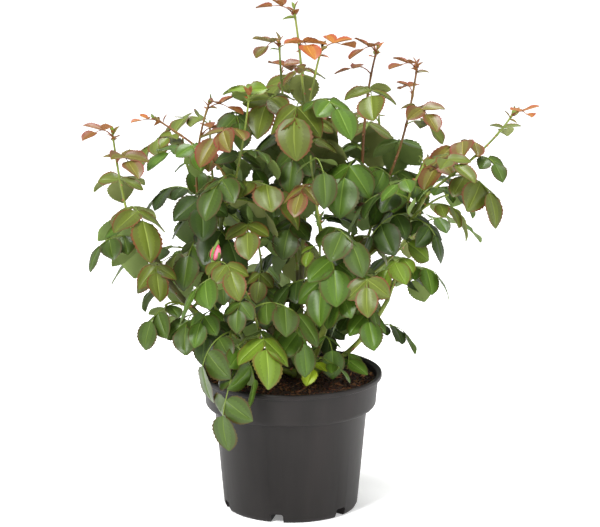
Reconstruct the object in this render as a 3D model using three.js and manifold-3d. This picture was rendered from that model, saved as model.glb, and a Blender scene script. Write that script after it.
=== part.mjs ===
// Rose bush in a five-litre grower's pot, a standalone three.js model.
// Units are millimetres, +Z is up, and the origin is the centre of the pot's flat underside.
// Canes rise from a graft crown in the soil. Each leafy shoot is one solid: a stem, its side twigs
// and its leaves, grown by a seeded rule in a space of its own and fused together.
import * as THREE from 'three';
import { mergeVertices } from 'three/addons/utils/BufferGeometryUtils.js';
import Module from 'manifold-3d';

const wasm = await Module();
wasm.setup();

// ---- driving dimensions -------------------------------------------------------------------------

const GAP = 0.35; // running gap between touching solids
const UP = new THREE.Vector3(0, 0, 1);

const POT = {
  height: 171,
  lipRadius: 112.5,
  lipHeight: 7,
  collarTop: 108.2,
  collarFoot: 105.4,
  collarHeight: 34,
  shoulder: 9, // height of the slope from collar to body
  bodyTop: 94.4,
  bodyFoot: 82.7,
  footRadius: 80.4,
  footBevel: 5,
  wall: 2.2,
  floor: 10,
  sides: 36,
};

const NOTCH = { count: 6, turn: -102, width: 16, height: 11, inner: 46 };
const DRAIN = { radius: 5, ring: 54 };

const SOIL = { edge: 163, crown: 168, clump: 1.4, sides: POT.sides / 2 };

const CROWN = { at: [15, -7, 166], radius: 19, sides: 16, rings: 10 };

// Full-grown compound leaf; a younger or weaker leaf is this one made smaller.
const LEAF = {
  reach: 73, // leaf stalk from the stem to the end leaflet
  stalk: 1.9, // width and depth of the leaf stalk
  end: 51, // length of the end leaflet
  upper: 45, // length of the second pair
  lower: 35, // length of the pair nearest the stem
  breadth: 0.66, // width over length
  widest: 0.46, // where a leaflet is widest, along its length
  thick: 0.9,
  small: 0.56, // below this size a leaf has one pair of leaflets
};
const PAIRS = [
  { along: 0.33, sweep: 6, length: LEAF.lower },
  { along: 0.73, sweep: 30, length: LEAF.upper },
];
const SMALL_PAIRS = [{ along: 0.62, sweep: 26, length: LEAF.upper }];

const ROOT = 1.2; // half the width of a leaflet's root, over half that of its stalk

const STEM_SIDES = 4;
const LIMB_SIDES = 6;
const LIMB_STEPS = 6;
const CLEAR = 1.1; // room kept all round each leaf and limb
const APART = 1.8; // room kept round a leaflet by the other pairs of its own leaf

// Canes and boughs: what each stands on and how far along, where it bends, where it ends, radii.
const LIMBS = [
  { name: 'cane_left', on: 'crown', bend: [-145, -35, 247], tip: [-173, -28, 343], r: [4.4, 3.4] },
  { name: 'cane_mid_left', on: 'crown', bend: [-43, 25, 246], tip: [-77, 5, 316], r: [3.9, 3.0] },
  { name: 'cane_centre', on: 'crown', bend: [10, 22, 238], tip: [14, 14, 305], r: [4.0, 3.3] },
  { name: 'cane_thick', on: 'crown', bend: [46, -27, 232], tip: [50, -31, 284], r: [4.6, 4.0] },
  { name: 'cane_right', on: 'crown', bend: [-7, -22, 247], tip: [114, -3, 334], r: [4.2, 3.4] },
  { name: 'cane_front_left', on: 'crown', bend: [-42, -58, 197], tip: [-60, -72, 238], r: [3.6, 2.8] },
  { name: 'cane_right_low', on: 'crown', bend: [82, -22, 198], tip: [118, -28, 268], r: [3.6, 2.8] },
  { name: 'cane_back_left', on: 'crown', bend: [-42, 68, 218], tip: [-80, 95, 305], r: [3.9, 3.0] },
  { name: 'cane_back_right', on: 'crown', bend: [64, 48, 232], tip: [95, 90, 315], r: [3.9, 3.0] },
  { name: 'cane_back', on: 'crown', bend: [15, 66, 212], tip: [8, 105, 275], r: [3.7, 2.9] },
  { name: 'bough_centre', on: 'cane_centre', at: 1,
    bend: [18, 8, 380], tip: [17, 4, 430], r: [3.1, 2.4] },
  { name: 'bough_mid_left', on: 'cane_mid_left', at: 1,
    bend: [-90, -5, 360], tip: [-78, -15, 410], r: [2.9, 2.2] },
  { name: 'bough_right_mid', on: 'cane_right', at: 0.86,
    bend: [84, 14, 345], tip: [86, 14, 400], r: [2.8, 2.2] },
  { name: 'bough_right', on: 'cane_right', at: 1,
    bend: [142, -8, 352], tip: [160, -10, 388], r: [3.1, 2.5] },
];

// Leafy shoots: limb and place along it, bend, tip, compass sides of the leaves from foot to tip
// (0 is +X, 90 is +Y), where the first leaf sits, leaf size, how young the tip is, and for a
// shoot that hangs, how many degrees further its leaves fall.
const SHOOTS = [
  { name: 'shoot_left', on: 'cane_left', at: 0.93, bend: [-206, -24, 400], tip: [-215, -20, 475],
    sides: [93, 295, 92, 305, 235], first: 0.42, size: 1.0, youth: 0.8 },
  { name: 'shoot_low_left', on: 'cane_left', at: 0.6, bend: [-140, -60, 285], tip: [-152, -58, 268],
    sides: [270, 210, 60], first: 0.27, size: 0.74, youth: 0.1 },
  { name: 'spray_left', on: 'bough_mid_left', at: 1, bend: [-110, -38, 462], tip: [-163, -30, 494],
    sides: [40, 290, 200], first: 0.35, size: 0.62, youth: 0.9 },
  { name: 'shoot_upper_left', on: 'cane_mid_left', at: 0.9, bend: [-140, 6, 390], tip: [-98, 10, 507],
    sides: [205, 332, 275, 210, 310], first: 0.28, size: 0.99, youth: 0.8 },
  { name: 'shoot_cut_back', on: 'bough_mid_left', at: 0.62, bend: [-70, 28, 430], tip: [-71, 22, 492],
    sides: [95, 285], first: 0.5, size: 0.8, youth: 0.2 },
  { name: 'shoot_front_high', on: 'bough_mid_left', at: 0.85, bend: [-58, -66, 440], tip: [-49, -52, 530],
    sides: [120, 325, 125, 220, 90], first: 0.26, size: 0.98, youth: 0.5 },
  { name: 'shoot_top_left', on: 'bough_centre', at: 0.86, bend: [-10, 38, 480], tip: [-14, 40, 576],
    sides: [45, 115, 290, 240], first: 0.22, size: 1.0, youth: 0.8 },
  { name: 'shoot_top', on: 'bough_centre', at: 1, bend: [19, -4, 530], tip: [4, 0, 622],
    sides: [65, 240, 90, 280, 165], first: 0.36, size: 1.0, youth: 0.9 },
  { name: 'shoot_top_right', on: 'bough_centre', at: 0.93, bend: [16, -34, 510], tip: [38, -25, 580],
    sides: [105, 310, 55], first: 0.4, size: 0.92, youth: 0.7 },
  { name: 'shoot_right_tall', on: 'bough_right_mid', at: 1, bend: [86, 24, 500], tip: [105, 20, 570],
    sides: [220, 67, 280, 220], first: 0.25, size: 1.0, youth: 0.8 },
  { name: 'shoot_red_stem', on: 'bough_right_mid', at: 0.86, bend: [142, 0, 460], tip: [153, 0, 555],
    sides: [5, 95, 290, 225], first: 0.4, size: 0.92, youth: 0.85 },
  { name: 'shoot_right', on: 'bough_right', at: 1, bend: [235, -14, 440], tip: [270, -10, 498],
    sides: [175, 315, 185, 280], first: 0.12, size: 0.9, youth: 0.8 },
  { name: 'shoot_bronze', on: 'bough_right', at: 0.8, bend: [132, -60, 395], tip: [163, -60, 450],
    sides: [205, 135, 315], first: 0.22, size: 0.95, youth: 0.5 },
  { name: 'shoot_right_fall', on: 'bough_right', at: 0.6, bend: [170, -48, 402], tip: [190, -50, 404],
    sides: [315, 15, 180], first: 0.32, size: 0.68, youth: 0.2 },
  { name: 'shoot_right_back', on: 'bough_right', at: 0.45, bend: [165, 40, 380], tip: [195, 45, 425],
    sides: [125, 235], first: 0.5, size: 0.9, youth: 0.4 },
  { name: 'shoot_bud', on: 'cane_front_left', at: 0.93, bend: [-112, -85, 290], tip: [-92, -82, 330],
    sides: [205, 330], first: 0.4, size: 0.72, youth: 0.1, flower: 'bud' },
  { name: 'shoot_over_rim', on: 'cane_front_left', at: 1, bend: [-84, -106, 262], tip: [-62, -122, 208],
    sides: [190, 330, 262], first: 0.5, size: 0.92, youth: 0, fall: 28 },
  { name: 'shoot_front', on: 'cane_front_left', at: 0.8, bend: [-40, -110, 275], tip: [-62, -112, 318],
    sides: [235, 352, 235], first: 0.4, size: 0.95, youth: 0 },
  { name: 'shoot_middle', on: 'cane_thick', at: 1, bend: [30, -82, 370], tip: [24, -76, 458],
    sides: [220, 290, 320, 105, 300], first: 0.2, size: 0.92, youth: 0.1 },
  { name: 'shoot_spent', on: 'cane_thick', at: 0.86, bend: [38, -48, 320], tip: [34, -48, 370],
    sides: [215, 55], first: 0.45, size: 0.7, youth: 0.1, flower: 'calyx' },
  { name: 'shoot_green_bud', on: 'cane_mid_left', at: 0.7, bend: [-30, -40, 325], tip: [-48, -42, 372],
    sides: [295, 240], first: 0.4, size: 0.75, youth: 0.1, flower: 'green_bud' },
  { name: 'shoot_right_front', on: 'cane_right_low', at: 0.8, bend: [78, -80, 306], tip: [88, -84, 316],
    sides: [290, 185, 230], first: 0.4, size: 0.74, youth: 0 },
  { name: 'shoot_right_low', on: 'cane_right_low', at: 1, bend: [130, -40, 316], tip: [142, -44, 324],
    sides: [60, 350, 225], first: 0.37, size: 0.74, youth: 0 },
  { name: 'shoot_foot', on: 'crown', bend: [38, -52, 206], tip: [36, -66, 205],
    sides: [250, 340], first: 0.7, size: 0.45, youth: 0.1 },
  { name: 'shoot_low_middle', on: 'cane_centre', at: 0.45, bend: [-10, -60, 260], tip: [-22, -72, 258],
    sides: [310, 160], first: 0.6, size: 0.85, youth: 0 },
  { name: 'shoot_back_left', on: 'cane_back_left', at: 1, bend: [-130, 110, 370], tip: [-135, 115, 440],
    sides: [120, 250], first: 0.4, size: 0.95, youth: 0.3 },
  { name: 'shoot_back_left_low', on: 'cane_back_left', at: 0.84,
    bend: [-120, 115, 300], tip: [-142, 115, 300],
    sides: [135, 170], first: 0.45, size: 0.9, youth: 0.1 },
  { name: 'shoot_back', on: 'cane_back', at: 1, bend: [0, 150, 340], tip: [-10, 150, 430],
    sides: [90, 260, 290], first: 0.3, size: 0.98, youth: 0.2 },
  { name: 'shoot_back_low', on: 'cane_back', at: 0.8, bend: [-30, 150, 262], tip: [-40, 170, 262],
    sides: [230, 65], first: 0.5, size: 0.9, youth: 0 },
  { name: 'shoot_back_right_low', on: 'cane_back', at: 0.62, bend: [55, 135, 255], tip: [66, 160, 256],
    sides: [25, 90], first: 0.5, size: 0.9, youth: 0 },
  { name: 'shoot_back_right', on: 'cane_back_right', at: 1, bend: [115, 125, 380], tip: [110, 130, 465],
    sides: [100, 250, 150], first: 0.35, size: 0.95, youth: 0.4 },
  { name: 'shoot_back_right_side', on: 'cane_back_right', at: 0.8,
    bend: [150, 105, 315], tip: [170, 112, 335],
    sides: [120, 30], first: 0.45, size: 0.9, youth: 0.2 },
  { name: 'shoot_crest_back', on: 'bough_centre', at: 0.6, bend: [0, 70, 430], tip: [20, 95, 515],
    sides: [60, 230], first: 0.5, size: 0.95, youth: 0.4 },
  { name: 'shoot_left_back', on: 'bough_mid_left', at: 0.35, bend: [-100, 60, 400], tip: [-100, 78, 470],
    sides: [45, 150], first: 0.45, size: 0.95, youth: 0.4 },
];

// ---- plain helpers ------------------------------------------------------------------------------

const vec = (list) => new THREE.Vector3(...list);
const radians = THREE.MathUtils.degToRad;
const mix = THREE.MathUtils.lerp;
const smooth = THREE.MathUtils.smoothstep;

// A repeatable source of numbers from 0 to 1.
function seeded(seed) {
  let state = seed >>> 0;
  return () => {
    state = (state + 0x6d2b79f5) >>> 0;
    let mixed = Math.imul(state ^ (state >>> 15), state | 1);
    mixed ^= mixed + Math.imul(mixed ^ (mixed >>> 7), mixed | 61);
    return ((mixed ^ (mixed >>> 14)) >>> 0) / 4294967296;
  };
}

// Keeps only positions and joins the vertices that faces share.
function weld(geometry) {
  geometry.deleteAttribute('normal');
  geometry.deleteAttribute('uv');
  return mergeVertices(geometry, 1e-4);
}

function toManifold(geometry) {
  const welded = weld(geometry);
  return new wasm.Manifold(new wasm.Mesh({
    numProp: 3,
    vertProperties: new Float32Array(welded.attributes.position.array),
    triVerts: new Uint32Array(welded.index.array),
  }));
}

// The largest body of a solid, so that loose scrap and sealed hollows are left behind.
function mainBody(solid) {
  const bodies = solid.decompose();
  bodies.sort((a, b) => b.volume() - a.volume());
  return bodies[0];
}

function toGeometry(solid) {
  const mesh = solid.getMesh();
  const geometry = new THREE.BufferGeometry();
  geometry.setAttribute('position', new THREE.BufferAttribute(mesh.vertProperties, 3));
  geometry.setIndex(new THREE.BufferAttribute(mesh.triVerts, 1));
  return geometry;
}

function standard(colour, roughness) {
  return new THREE.MeshStandardMaterial({ color: colour, roughness, metalness: 0 });
}

function addMesh(name, geometry, material) {
  geometry.computeVertexNormals();
  const mesh = new THREE.Mesh(geometry, material);
  mesh.name = name;
  plant.add(mesh);
}

// A unit vector square to the axis, as near to the wanted one as can be.
function squareTo(wanted, axis) {
  return wanted.clone().addScaledVector(axis, -wanted.dot(axis)).normalize();
}

// ---- tubes and leaves ---------------------------------------------------------------------------

// A cylinder bent along a curve, tapering from its foot to its tip.
function taperedTube(curve, footRadius, tipRadius, sides, steps) {
  const geometry = new THREE.CylinderGeometry(tipRadius, footRadius, 1, sides, steps);
  const rings = [];
  let side = new THREE.Vector3(0.31, 0.95, 0.07);
  for (let step = 0; step <= steps; step++) {
    const tangent = curve.getTangent(step / steps);
    side = squareTo(side, tangent);
    rings.push({ centre: curve.getPoint(step / steps), side, third: tangent.clone().cross(side) });
  }
  const position = geometry.attributes.position;
  for (let i = 0; i < position.count; i++) {
    const ring = rings[Math.round((position.getY(i) + 0.5) * steps)];
    const point = ring.centre.clone();
    point.addScaledVector(ring.side, position.getZ(i));
    point.addScaledVector(ring.third, position.getX(i));
    position.setXYZ(i, point.x, point.y, point.z);
  }
  return geometry;
}

// A point on a leaflet, from its place along and across and its height over the blade.
function onLeaflet({ foot, axis, normal, length, hang }, along, across, height) {
  const lift = height - length * hang * (0.16 * along * along + 0.05 * Math.abs(across));
  return foot.clone()
    .addScaledVector(axis, along * length)
    .addScaledVector(normal.clone().cross(axis), (across * length * LEAF.breadth) / 2)
    .addScaledVector(normal, lift);
}

// An eight-faced blade round a leaflet, with room to spare all round.
function blade(leaflet, extra) {
  const geometry = new THREE.OctahedronGeometry(1);
  const position = geometry.attributes.position;
  const grown = 1 + (2 * extra) / (leaflet.length * LEAF.breadth);
  for (let i = 0; i < position.count; i++) {
    const x = position.getX(i);
    const isEnd = Math.abs(x) > 0.5;
    const along = isEnd ? (x + 1) / 2 : LEAF.widest;
    const height = position.getZ(i) * (LEAF.thick / 2 + extra);
    const point = onLeaflet(leaflet, along, position.getY(i) * grown, height);
    position.setXYZ(i, point.x, point.y, point.z);
  }
  return geometry;
}

// ---- room: what a new leaf must stay clear of ---------------------------------------------------

// A four-sided sleeve that holds a stem of the given radius with room to spare all round.
function sleeve(curve, footRadius, tipRadius, steps) {
  const grow = (radius) => (radius + CLEAR) * Math.SQRT2;
  return taperedTube(curve, grow(footRadius), grow(tipRadius), 4, steps);
}

// Corners, edges and faces of a closed geometry, with its box, for the room test.
function outline(geometry, owner) {
  const welded = weld(geometry);
  const position = welded.attributes.position;
  const corners = [];
  for (let i = 0; i < position.count; i++) {
    corners.push(new THREE.Vector3().fromBufferAttribute(position, i));
  }
  const index = welded.index.array;
  const faces = [];
  const edges = [];
  for (let i = 0; i < index.length; i += 3) {
    const face = [index[i], index[i + 1], index[i + 2]];
    faces.push(face.map((corner) => corners[corner]));
    for (let k = 0; k < 3; k++) {
      const from = face[k];
      const to = face[(k + 1) % 3];
      if (from < to) edges.push([corners[from], corners[to]]);
    }
  }
  return { corners, edges, faces, box: new THREE.Box3().setFromPoints(corners), owner };
}

const edgeA = new THREE.Vector3();
const edgeB = new THREE.Vector3();
const ray = new THREE.Vector3();
const offset = new THREE.Vector3();
const crossA = new THREE.Vector3();
const crossB = new THREE.Vector3();

// Whether the line from one point to another passes through a triangle.
function pierces(from, to, [a, b, c]) {
  ray.subVectors(to, from);
  edgeA.subVectors(b, a);
  edgeB.subVectors(c, a);
  crossA.crossVectors(ray, edgeB);
  const scale = edgeA.dot(crossA);
  if (Math.abs(scale) < 1e-9) return false;
  offset.subVectors(from, a);
  const u = offset.dot(crossA) / scale;
  if (u < 0 || u > 1) return false;
  crossB.crossVectors(offset, edgeA);
  const v = ray.dot(crossB) / scale;
  if (v < 0 || u + v > 1) return false;
  const t = edgeB.dot(crossB) / scale;
  return t >= 0 && t <= 1;
}

function oneWay(first, second) {
  return first.edges.some(([from, to]) => second.faces.some((face) => pierces(from, to, face)));
}

function crosses(first, second) {
  return first.box.intersectsBox(second.box) && (oneWay(first, second) || oneWay(second, first));
}

// The pot's wall and the soil, with room to spare, as seen by a leaf's corners and mid-edges.
function meetsPot(piece) {
  const tests = [...piece.corners];
  for (const [from, to] of piece.edges) {
    tests.push(from.clone().lerp(to, 1 / 3), from.clone().lerp(to, 2 / 3));
  }
  return tests.some((point) => {
    const radius = Math.hypot(point.x, point.y);
    if (point.z > POT.height + 3) return false;
    const overSoil = radius < POT.collarTop - 8 && point.z > SOIL.crown + 2;
    return radius < POT.lipRadius + 4 && !overSoil;
  });
}

const taken = [];

// Free of the pot and of everything grown so far, save the stems of the shoot that bears the piece.
function isFree(piece, bearer) {
  return !meetsPot(piece) && !taken.some((other) => other.owner !== bearer && crosses(piece, other));
}

// ---- limbs --------------------------------------------------------------------------------------

const crownAt = vec(CROWN.at);
const limbs = new Map();

// A place on a limb, on the straight run between two of its rings, with its direction and radius.
function onLimb({ curve, r }, at) {
  const ring = Math.min(Math.floor(at * LIMB_STEPS), LIMB_STEPS - 1);
  const from = curve.getPoint(ring / LIMB_STEPS);
  const to = curve.getPoint((ring + 1) / LIMB_STEPS);
  const along = to.clone().sub(from).normalize();
  return { point: from.lerp(to, at * LIMB_STEPS - ring), along, radius: mix(r[0], r[1], at) };
}

// The curve of a limb or shoot: it leaves its bearer squarely, a running gap clear of it.
function growthCurve({ on, at, bend, tip }) {
  const bendAt = vec(bend);
  const tipAt = vec(tip);
  let start;
  let out;
  if (on === 'crown') {
    out = bendAt.clone().sub(crownAt).normalize();
    start = crownAt.clone().addScaledVector(out, CROWN.radius + GAP);
  } else {
    const { point, along, radius } = onLimb(limbs.get(on), at);
    const isTip = at === 1;
    out = isTip ? along : squareTo(bendAt.clone().sub(point), along);
    start = point.addScaledVector(out, (isTip ? 0 : radius) + GAP);
  }
  const heel = start.distanceTo(tipAt) * 0.15;
  return new THREE.CubicBezierCurve3(start, start.clone().addScaledVector(out, heel), bendAt, tipAt);
}

function buildLimb(row) {
  const curve = growthCurve(row);
  limbs.set(row.name, { curve, r: row.r });
  const [foot, tip] = row.r;
  taken.push(outline(sleeve(curve, foot, tip, LIMB_STEPS), row.name));
  const geometry = weld(taperedTube(curve, foot, tip, LIMB_SIDES, LIMB_STEPS));
  addMesh(row.name, geometry, standard(0x6f7a3c, 0.7));
}

// ---- shoots -------------------------------------------------------------------------------------

// The leaflets of a compound leaf on its arching stalk: an end leaflet and opposite pairs.
function planLeaf({ foot, tangent, compass, size, youth, fall }, chance) {
  const heading = new THREE.Vector3(Math.cos(compass), Math.sin(compass), 0);
  const left = UP.clone().cross(heading);
  const lift = radians(mix(36, 60, youth));
  const droop = radians(mix(44, 18, youth) + fall + 24 * (chance[0] - 0.5));
  const reach = LEAF.reach * size * mix(0.92, 1.08, chance[1]);
  const first = heading.clone().multiplyScalar(Math.cos(lift));
  first.addScaledVector(tangent, Math.sin(lift)).normalize();
  const last = heading.clone().multiplyScalar(Math.cos(droop)).addScaledVector(UP, -Math.sin(droop));
  const bend = foot.clone().addScaledVector(first, reach * 0.5);
  const end = bend.clone().addScaledVector(last, reach * 0.5);
  const stalk = new THREE.QuadraticBezierCurve3(foot, bend, end);

  const leaflets = [];
  const addLeaflet = (along, hand, sweep, roof, length) => {
    const forward = stalk.getTangent(along);
    const above = forward.clone().cross(left);
    const flat = left.clone().multiplyScalar(hand * Math.cos(sweep));
    flat.addScaledVector(forward, Math.sin(sweep));
    const axis = flat.clone().multiplyScalar(Math.cos(roof)).addScaledVector(above, -Math.sin(roof));
    const normal = above.multiplyScalar(Math.cos(roof)).addScaledVector(flat, Math.sin(roof));
    const hang = mix(1, -0.3, youth);
    leaflets.push({ along, hand, foot: stalk.getPoint(along), axis, normal, length, hang });
  };
  const roofOf = (luck) => radians(mix(24, -22, youth) + 22 * (luck - 0.5));
  const sizeOf = (luck) => size * mix(0.93, 1.07, luck);
  addLeaflet(1, 0, Math.PI / 2, roofOf(chance[2]) * 0.6, LEAF.end * sizeOf(chance[3]));
  const pairs = size < LEAF.small ? SMALL_PAIRS : PAIRS;
  pairs.forEach(({ along, sweep, length }, pair) => {
    [-1, 1].forEach((hand, second) => {
      const luck = chance.slice(4 + 4 * pair + 2 * second);
      const lean = radians(sweep + 12 * (luck[0] - 0.5));
      addLeaflet(along, hand, lean, roofOf(luck[1]), length * sizeOf(luck[1]));
    });
  });
  return { stalk, left, leaflets, size, half: (LEAF.stalk / 2) * mix(0.6, 1, size) };
}

// A compound leaf as one solid: an upper and a lower skin over the stalk and its leaflets, closed
// by a wall round their edge. Each corner's upper point is followed by its lower one.
function leafSolid({ stalk, left, leaflets, half }) {
  const points = [];
  const faces = [];
  const addCorner = (at, normal, height) => {
    points.push(at.clone().addScaledVector(normal, height));
    points.push(at.clone().addScaledVector(normal, -height));
    return points.length - 2;
  };
  const addSkins = (a, b, c) => faces.push(a, b, c, c + 1, b + 1, a + 1);
  const addWall = (a, b) => faces.push(a + 1, b + 1, b, a + 1, b, a);
  const stalkCorner = (along, hand) => {
    const at = stalk.getPoint(along).addScaledVector(left, hand * half);
    return addCorner(at, stalk.getTangent(along).cross(left), half);
  };

  // The stalk is a strip with two stops at each pair, as wide apart as a leaflet's root.
  const root = (ROOT * half) / stalk.getLength();
  const pairs = [...new Set(leaflets.filter(({ hand }) => hand).map(({ along }) => along))].sort();
  const stops = [0, ...pairs.flatMap((along) => [along - root, along + root]), 1];
  const right = stops.map((along) => ({ along, hand: -1, corner: stalkCorner(along, -1) }));
  const rest = stops.map((along) => ({ along, hand: 1, corner: stalkCorner(along, 1) }));
  for (let i = 1; i < stops.length; i++) {
    addSkins(right[i - 1].corner, right[i].corner, rest[i - 1].corner);
    addSkins(right[i].corner, rest[i].corner, rest[i - 1].corner);
  }

  // The edge runs out along the right side, round the end leaflet and back along the left side.
  const borneBetween = (a, b) => leaflets.find(({ along, hand }) => {
    if (a.hand !== b.hand) return hand === 0 && a.along === 1;
    return hand === a.hand && (along - a.along) * (along - b.along) < 0;
  });
  const ring = [...right, ...rest.reverse()];
  ring.forEach((from, i) => {
    const to = ring[(i + 1) % ring.length];
    const leaflet = borneBetween(from, to);
    if (!leaflet) {
      addWall(from.corner, to.corner);
      return;
    }
    const [near, tip, far] = [[LEAF.widest, -1], [1, 0], [LEAF.widest, 1]].map(([along, across]) =>
      addCorner(onLeaflet(leaflet, along, across, 0), leaflet.normal, LEAF.thick / 2));
    addSkins(from.corner, near, far);
    addSkins(from.corner, far, to.corner);
    addSkins(near, tip, far);
    const edge = [from.corner, near, tip, far, to.corner];
    for (let k = 1; k < edge.length; k++) addWall(edge[k - 1], edge[k]);
  });

  const geometry = new THREE.BufferGeometry().setFromPoints(points);
  geometry.setIndex(faces);
  return geometry;
}

const LUCK = 12; // random numbers that one compound leaf uses
const SWINGS = [0, 22, -22, 44, -44].map(radians); // turns tried, in order, to find room
const FEWEST = 3; // leaflets that make a leaf worth growing

// The leaf with those of its leaflets that find room, or null where its stalk finds none.
function fitLeaf(plan, bearer) {
  const stalk = outline(sleeve(plan.stalk, plan.half, plan.half, 3), bearer);
  if (!isFree(stalk, bearer)) return null;
  const room = [stalk];
  const kept = [];
  const leaflets = plan.leaflets.filter((leaflet) => {
    const piece = outline(blade(leaflet, CLEAR), 'leaf');
    const own = outline(blade(leaflet, APART), 'leaf');
    const neighbours = kept.filter(({ along }) => along !== leaflet.along);
    const free = isFree(piece, 'none') && !neighbours.some((other) => crosses(other.own, own));
    if (free) room.push(piece);
    if (free) kept.push({ own, along: leaflet.along });
    return free;
  });
  return { ...plan, leaflets, room };
}

// Grows one compound leaf at the first turn where all its leaflets fit, or at the best turn.
function growLeaf(shoot, node) {
  const chance = Array.from({ length: LUCK }, shoot.random);
  let best = null;
  for (const swing of SWINGS) {
    const plan = planLeaf({ ...node, compass: node.compass + swing }, chance);
    const leaf = fitLeaf(plan, shoot.name);
    if (leaf && (!best || leaf.leaflets.length > best.leaflets.length)) best = leaf;
    if (best && best.leaflets.length === plan.leaflets.length) break;
  }
  if (!best || best.leaflets.length < FEWEST) return;
  taken.push(...best.room);
  shoot.solids.push(leafSolid(best));
}

const TWIG = { chance: 0.04, turn: radians(35), length: 46, leaves: 2, radius: 1.5, steps: 5 };

// A side twig from a leaf's axil, with leaves of its own.
function growTwig(shoot, { foot, tangent, compass, size, fall }) {
  const heading = new THREE.Vector3(Math.cos(compass), Math.sin(compass), 0);
  const length = TWIG.length * size;
  const bend = foot.clone().addScaledVector(heading, length * 0.5);
  bend.addScaledVector(tangent, length * 0.2);
  const tip = bend.clone().addScaledVector(heading, length * 0.2);
  tip.addScaledVector(UP, length * 0.45);
  const curve = new THREE.QuadraticBezierCurve3(foot, bend, tip);
  const room = outline(sleeve(curve, TWIG.radius, TWIG.radius, TWIG.steps), shoot.name);
  if (!isFree(room, shoot.name)) return;
  taken.push(room);
  shoot.solids.push(taperedTube(curve, TWIG.radius, TWIG.radius * 0.6, 3, TWIG.steps));
  for (let leaf = 1; leaf <= TWIG.leaves; leaf++) {
    const along = leaf / TWIG.leaves - 0.06;
    const turn = compass + radians(leaf % 2 ? 70 : -60);
    growLeaf(shoot, {
      foot: curve.getPoint(along),
      tangent: curve.getTangent(along),
      compass: turn,
      size: size * 0.85,
      youth: 0.2,
      fall,
    });
  }
}

const STEM = { foot: 2.1, tip: 1.2, lastLeaf: 0.97, steps: 5 };
const OPEN_AIR = { radius: 8, reach: 110, rise: 27 }; // kept free of leaves in front of a flower

function startShoot(row, index) {
  const curve = growthCurve(row);
  const girth = mix(0.8, 1, row.size);
  const foot = STEM.foot * girth;
  const tip = STEM.tip * girth;
  taken.push(outline(sleeve(curve, foot, tip, STEM.steps), row.name));
  if (row.flower) {
    const heart = curve.getPoint(1);
    heart.addScaledVector(curve.getTangent(1), BUD_LENGTH[row.flower] / 2);
    const ahead = heart.clone().add(vec([0, -OPEN_AIR.reach, OPEN_AIR.rise]));
    const sight = new THREE.QuadraticBezierCurve3(heart, heart.clone().lerp(ahead, 0.5), ahead);
    taken.push(outline(sleeve(sight, OPEN_AIR.radius, OPEN_AIR.radius, 1), row.name));
  }
  return {
    ...row,
    curve,
    random: seeded(index * 7919 + 17),
    solids: [taperedTube(curve, foot, tip, STEM_SIDES, STEM.steps)],
  };
}

function growShoot(shoot) {
  shoot.sides.forEach((side, i) => {
    const along = mix(shoot.first, STEM.lastLeaf, i / (shoot.sides.length - 1));
    const youth = shoot.youth * smooth(along, 0.5, 1);
    const node = {
      foot: shoot.curve.getPoint(along),
      tangent: shoot.curve.getTangent(along),
      compass: radians(side + 20 * (shoot.random() - 0.5)),
      size: shoot.size * mix(1, 0.42, youth),
      youth,
      fall: shoot.fall ?? 0,
    };
    const branches = shoot.random() < TWIG.chance && along < 0.7;
    growLeaf(shoot, node);
    if (branches) growTwig(shoot, { ...node, compass: node.compass + TWIG.turn });
  });
}

// ---- flowers ------------------------------------------------------------------------------------

// Radius and height of a bud's outline, from its neck to its point, for a bud of length 1.
const BUD_OUTLINE = [[0, -0.1], [0.14, 0], [0.12, 0.14], [0.24, 0.42], [0.16, 0.8], [0, 1]];
const BUD_LENGTH = { bud: 22, green_bud: 15, calyx: 10 };
const BUD_SIDES = 6;

// A bud, or the open cup left by a spent flower, set on the end of a stem.
function flower(kind, curve) {
  const length = BUD_LENGTH[kind];
  const tip = curve.getPoint(1);
  const upright = new THREE.Vector3(0, 1, 0);
  const profile = BUD_OUTLINE.map((point) => new THREE.Vector2(...point).multiplyScalar(length));
  const bud = new THREE.LatheGeometry(profile, BUD_SIDES);
  bud.applyQuaternion(new THREE.Quaternion().setFromUnitVectors(upright, curve.getTangent(1)));
  bud.translate(tip.x, tip.y, tip.z);
  return bud;
}

// ---- pot, soil and crown ------------------------------------------------------------------------

function lathe(points, sides) {
  const profile = points.map(([radius, height]) => new THREE.Vector2(radius, height));
  return toManifold(new THREE.LatheGeometry(profile, sides).rotateX(Math.PI / 2));
}

const collarFootZ = POT.height - POT.collarHeight;
const bodyTopZ = collarFootZ - POT.shoulder;

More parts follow.
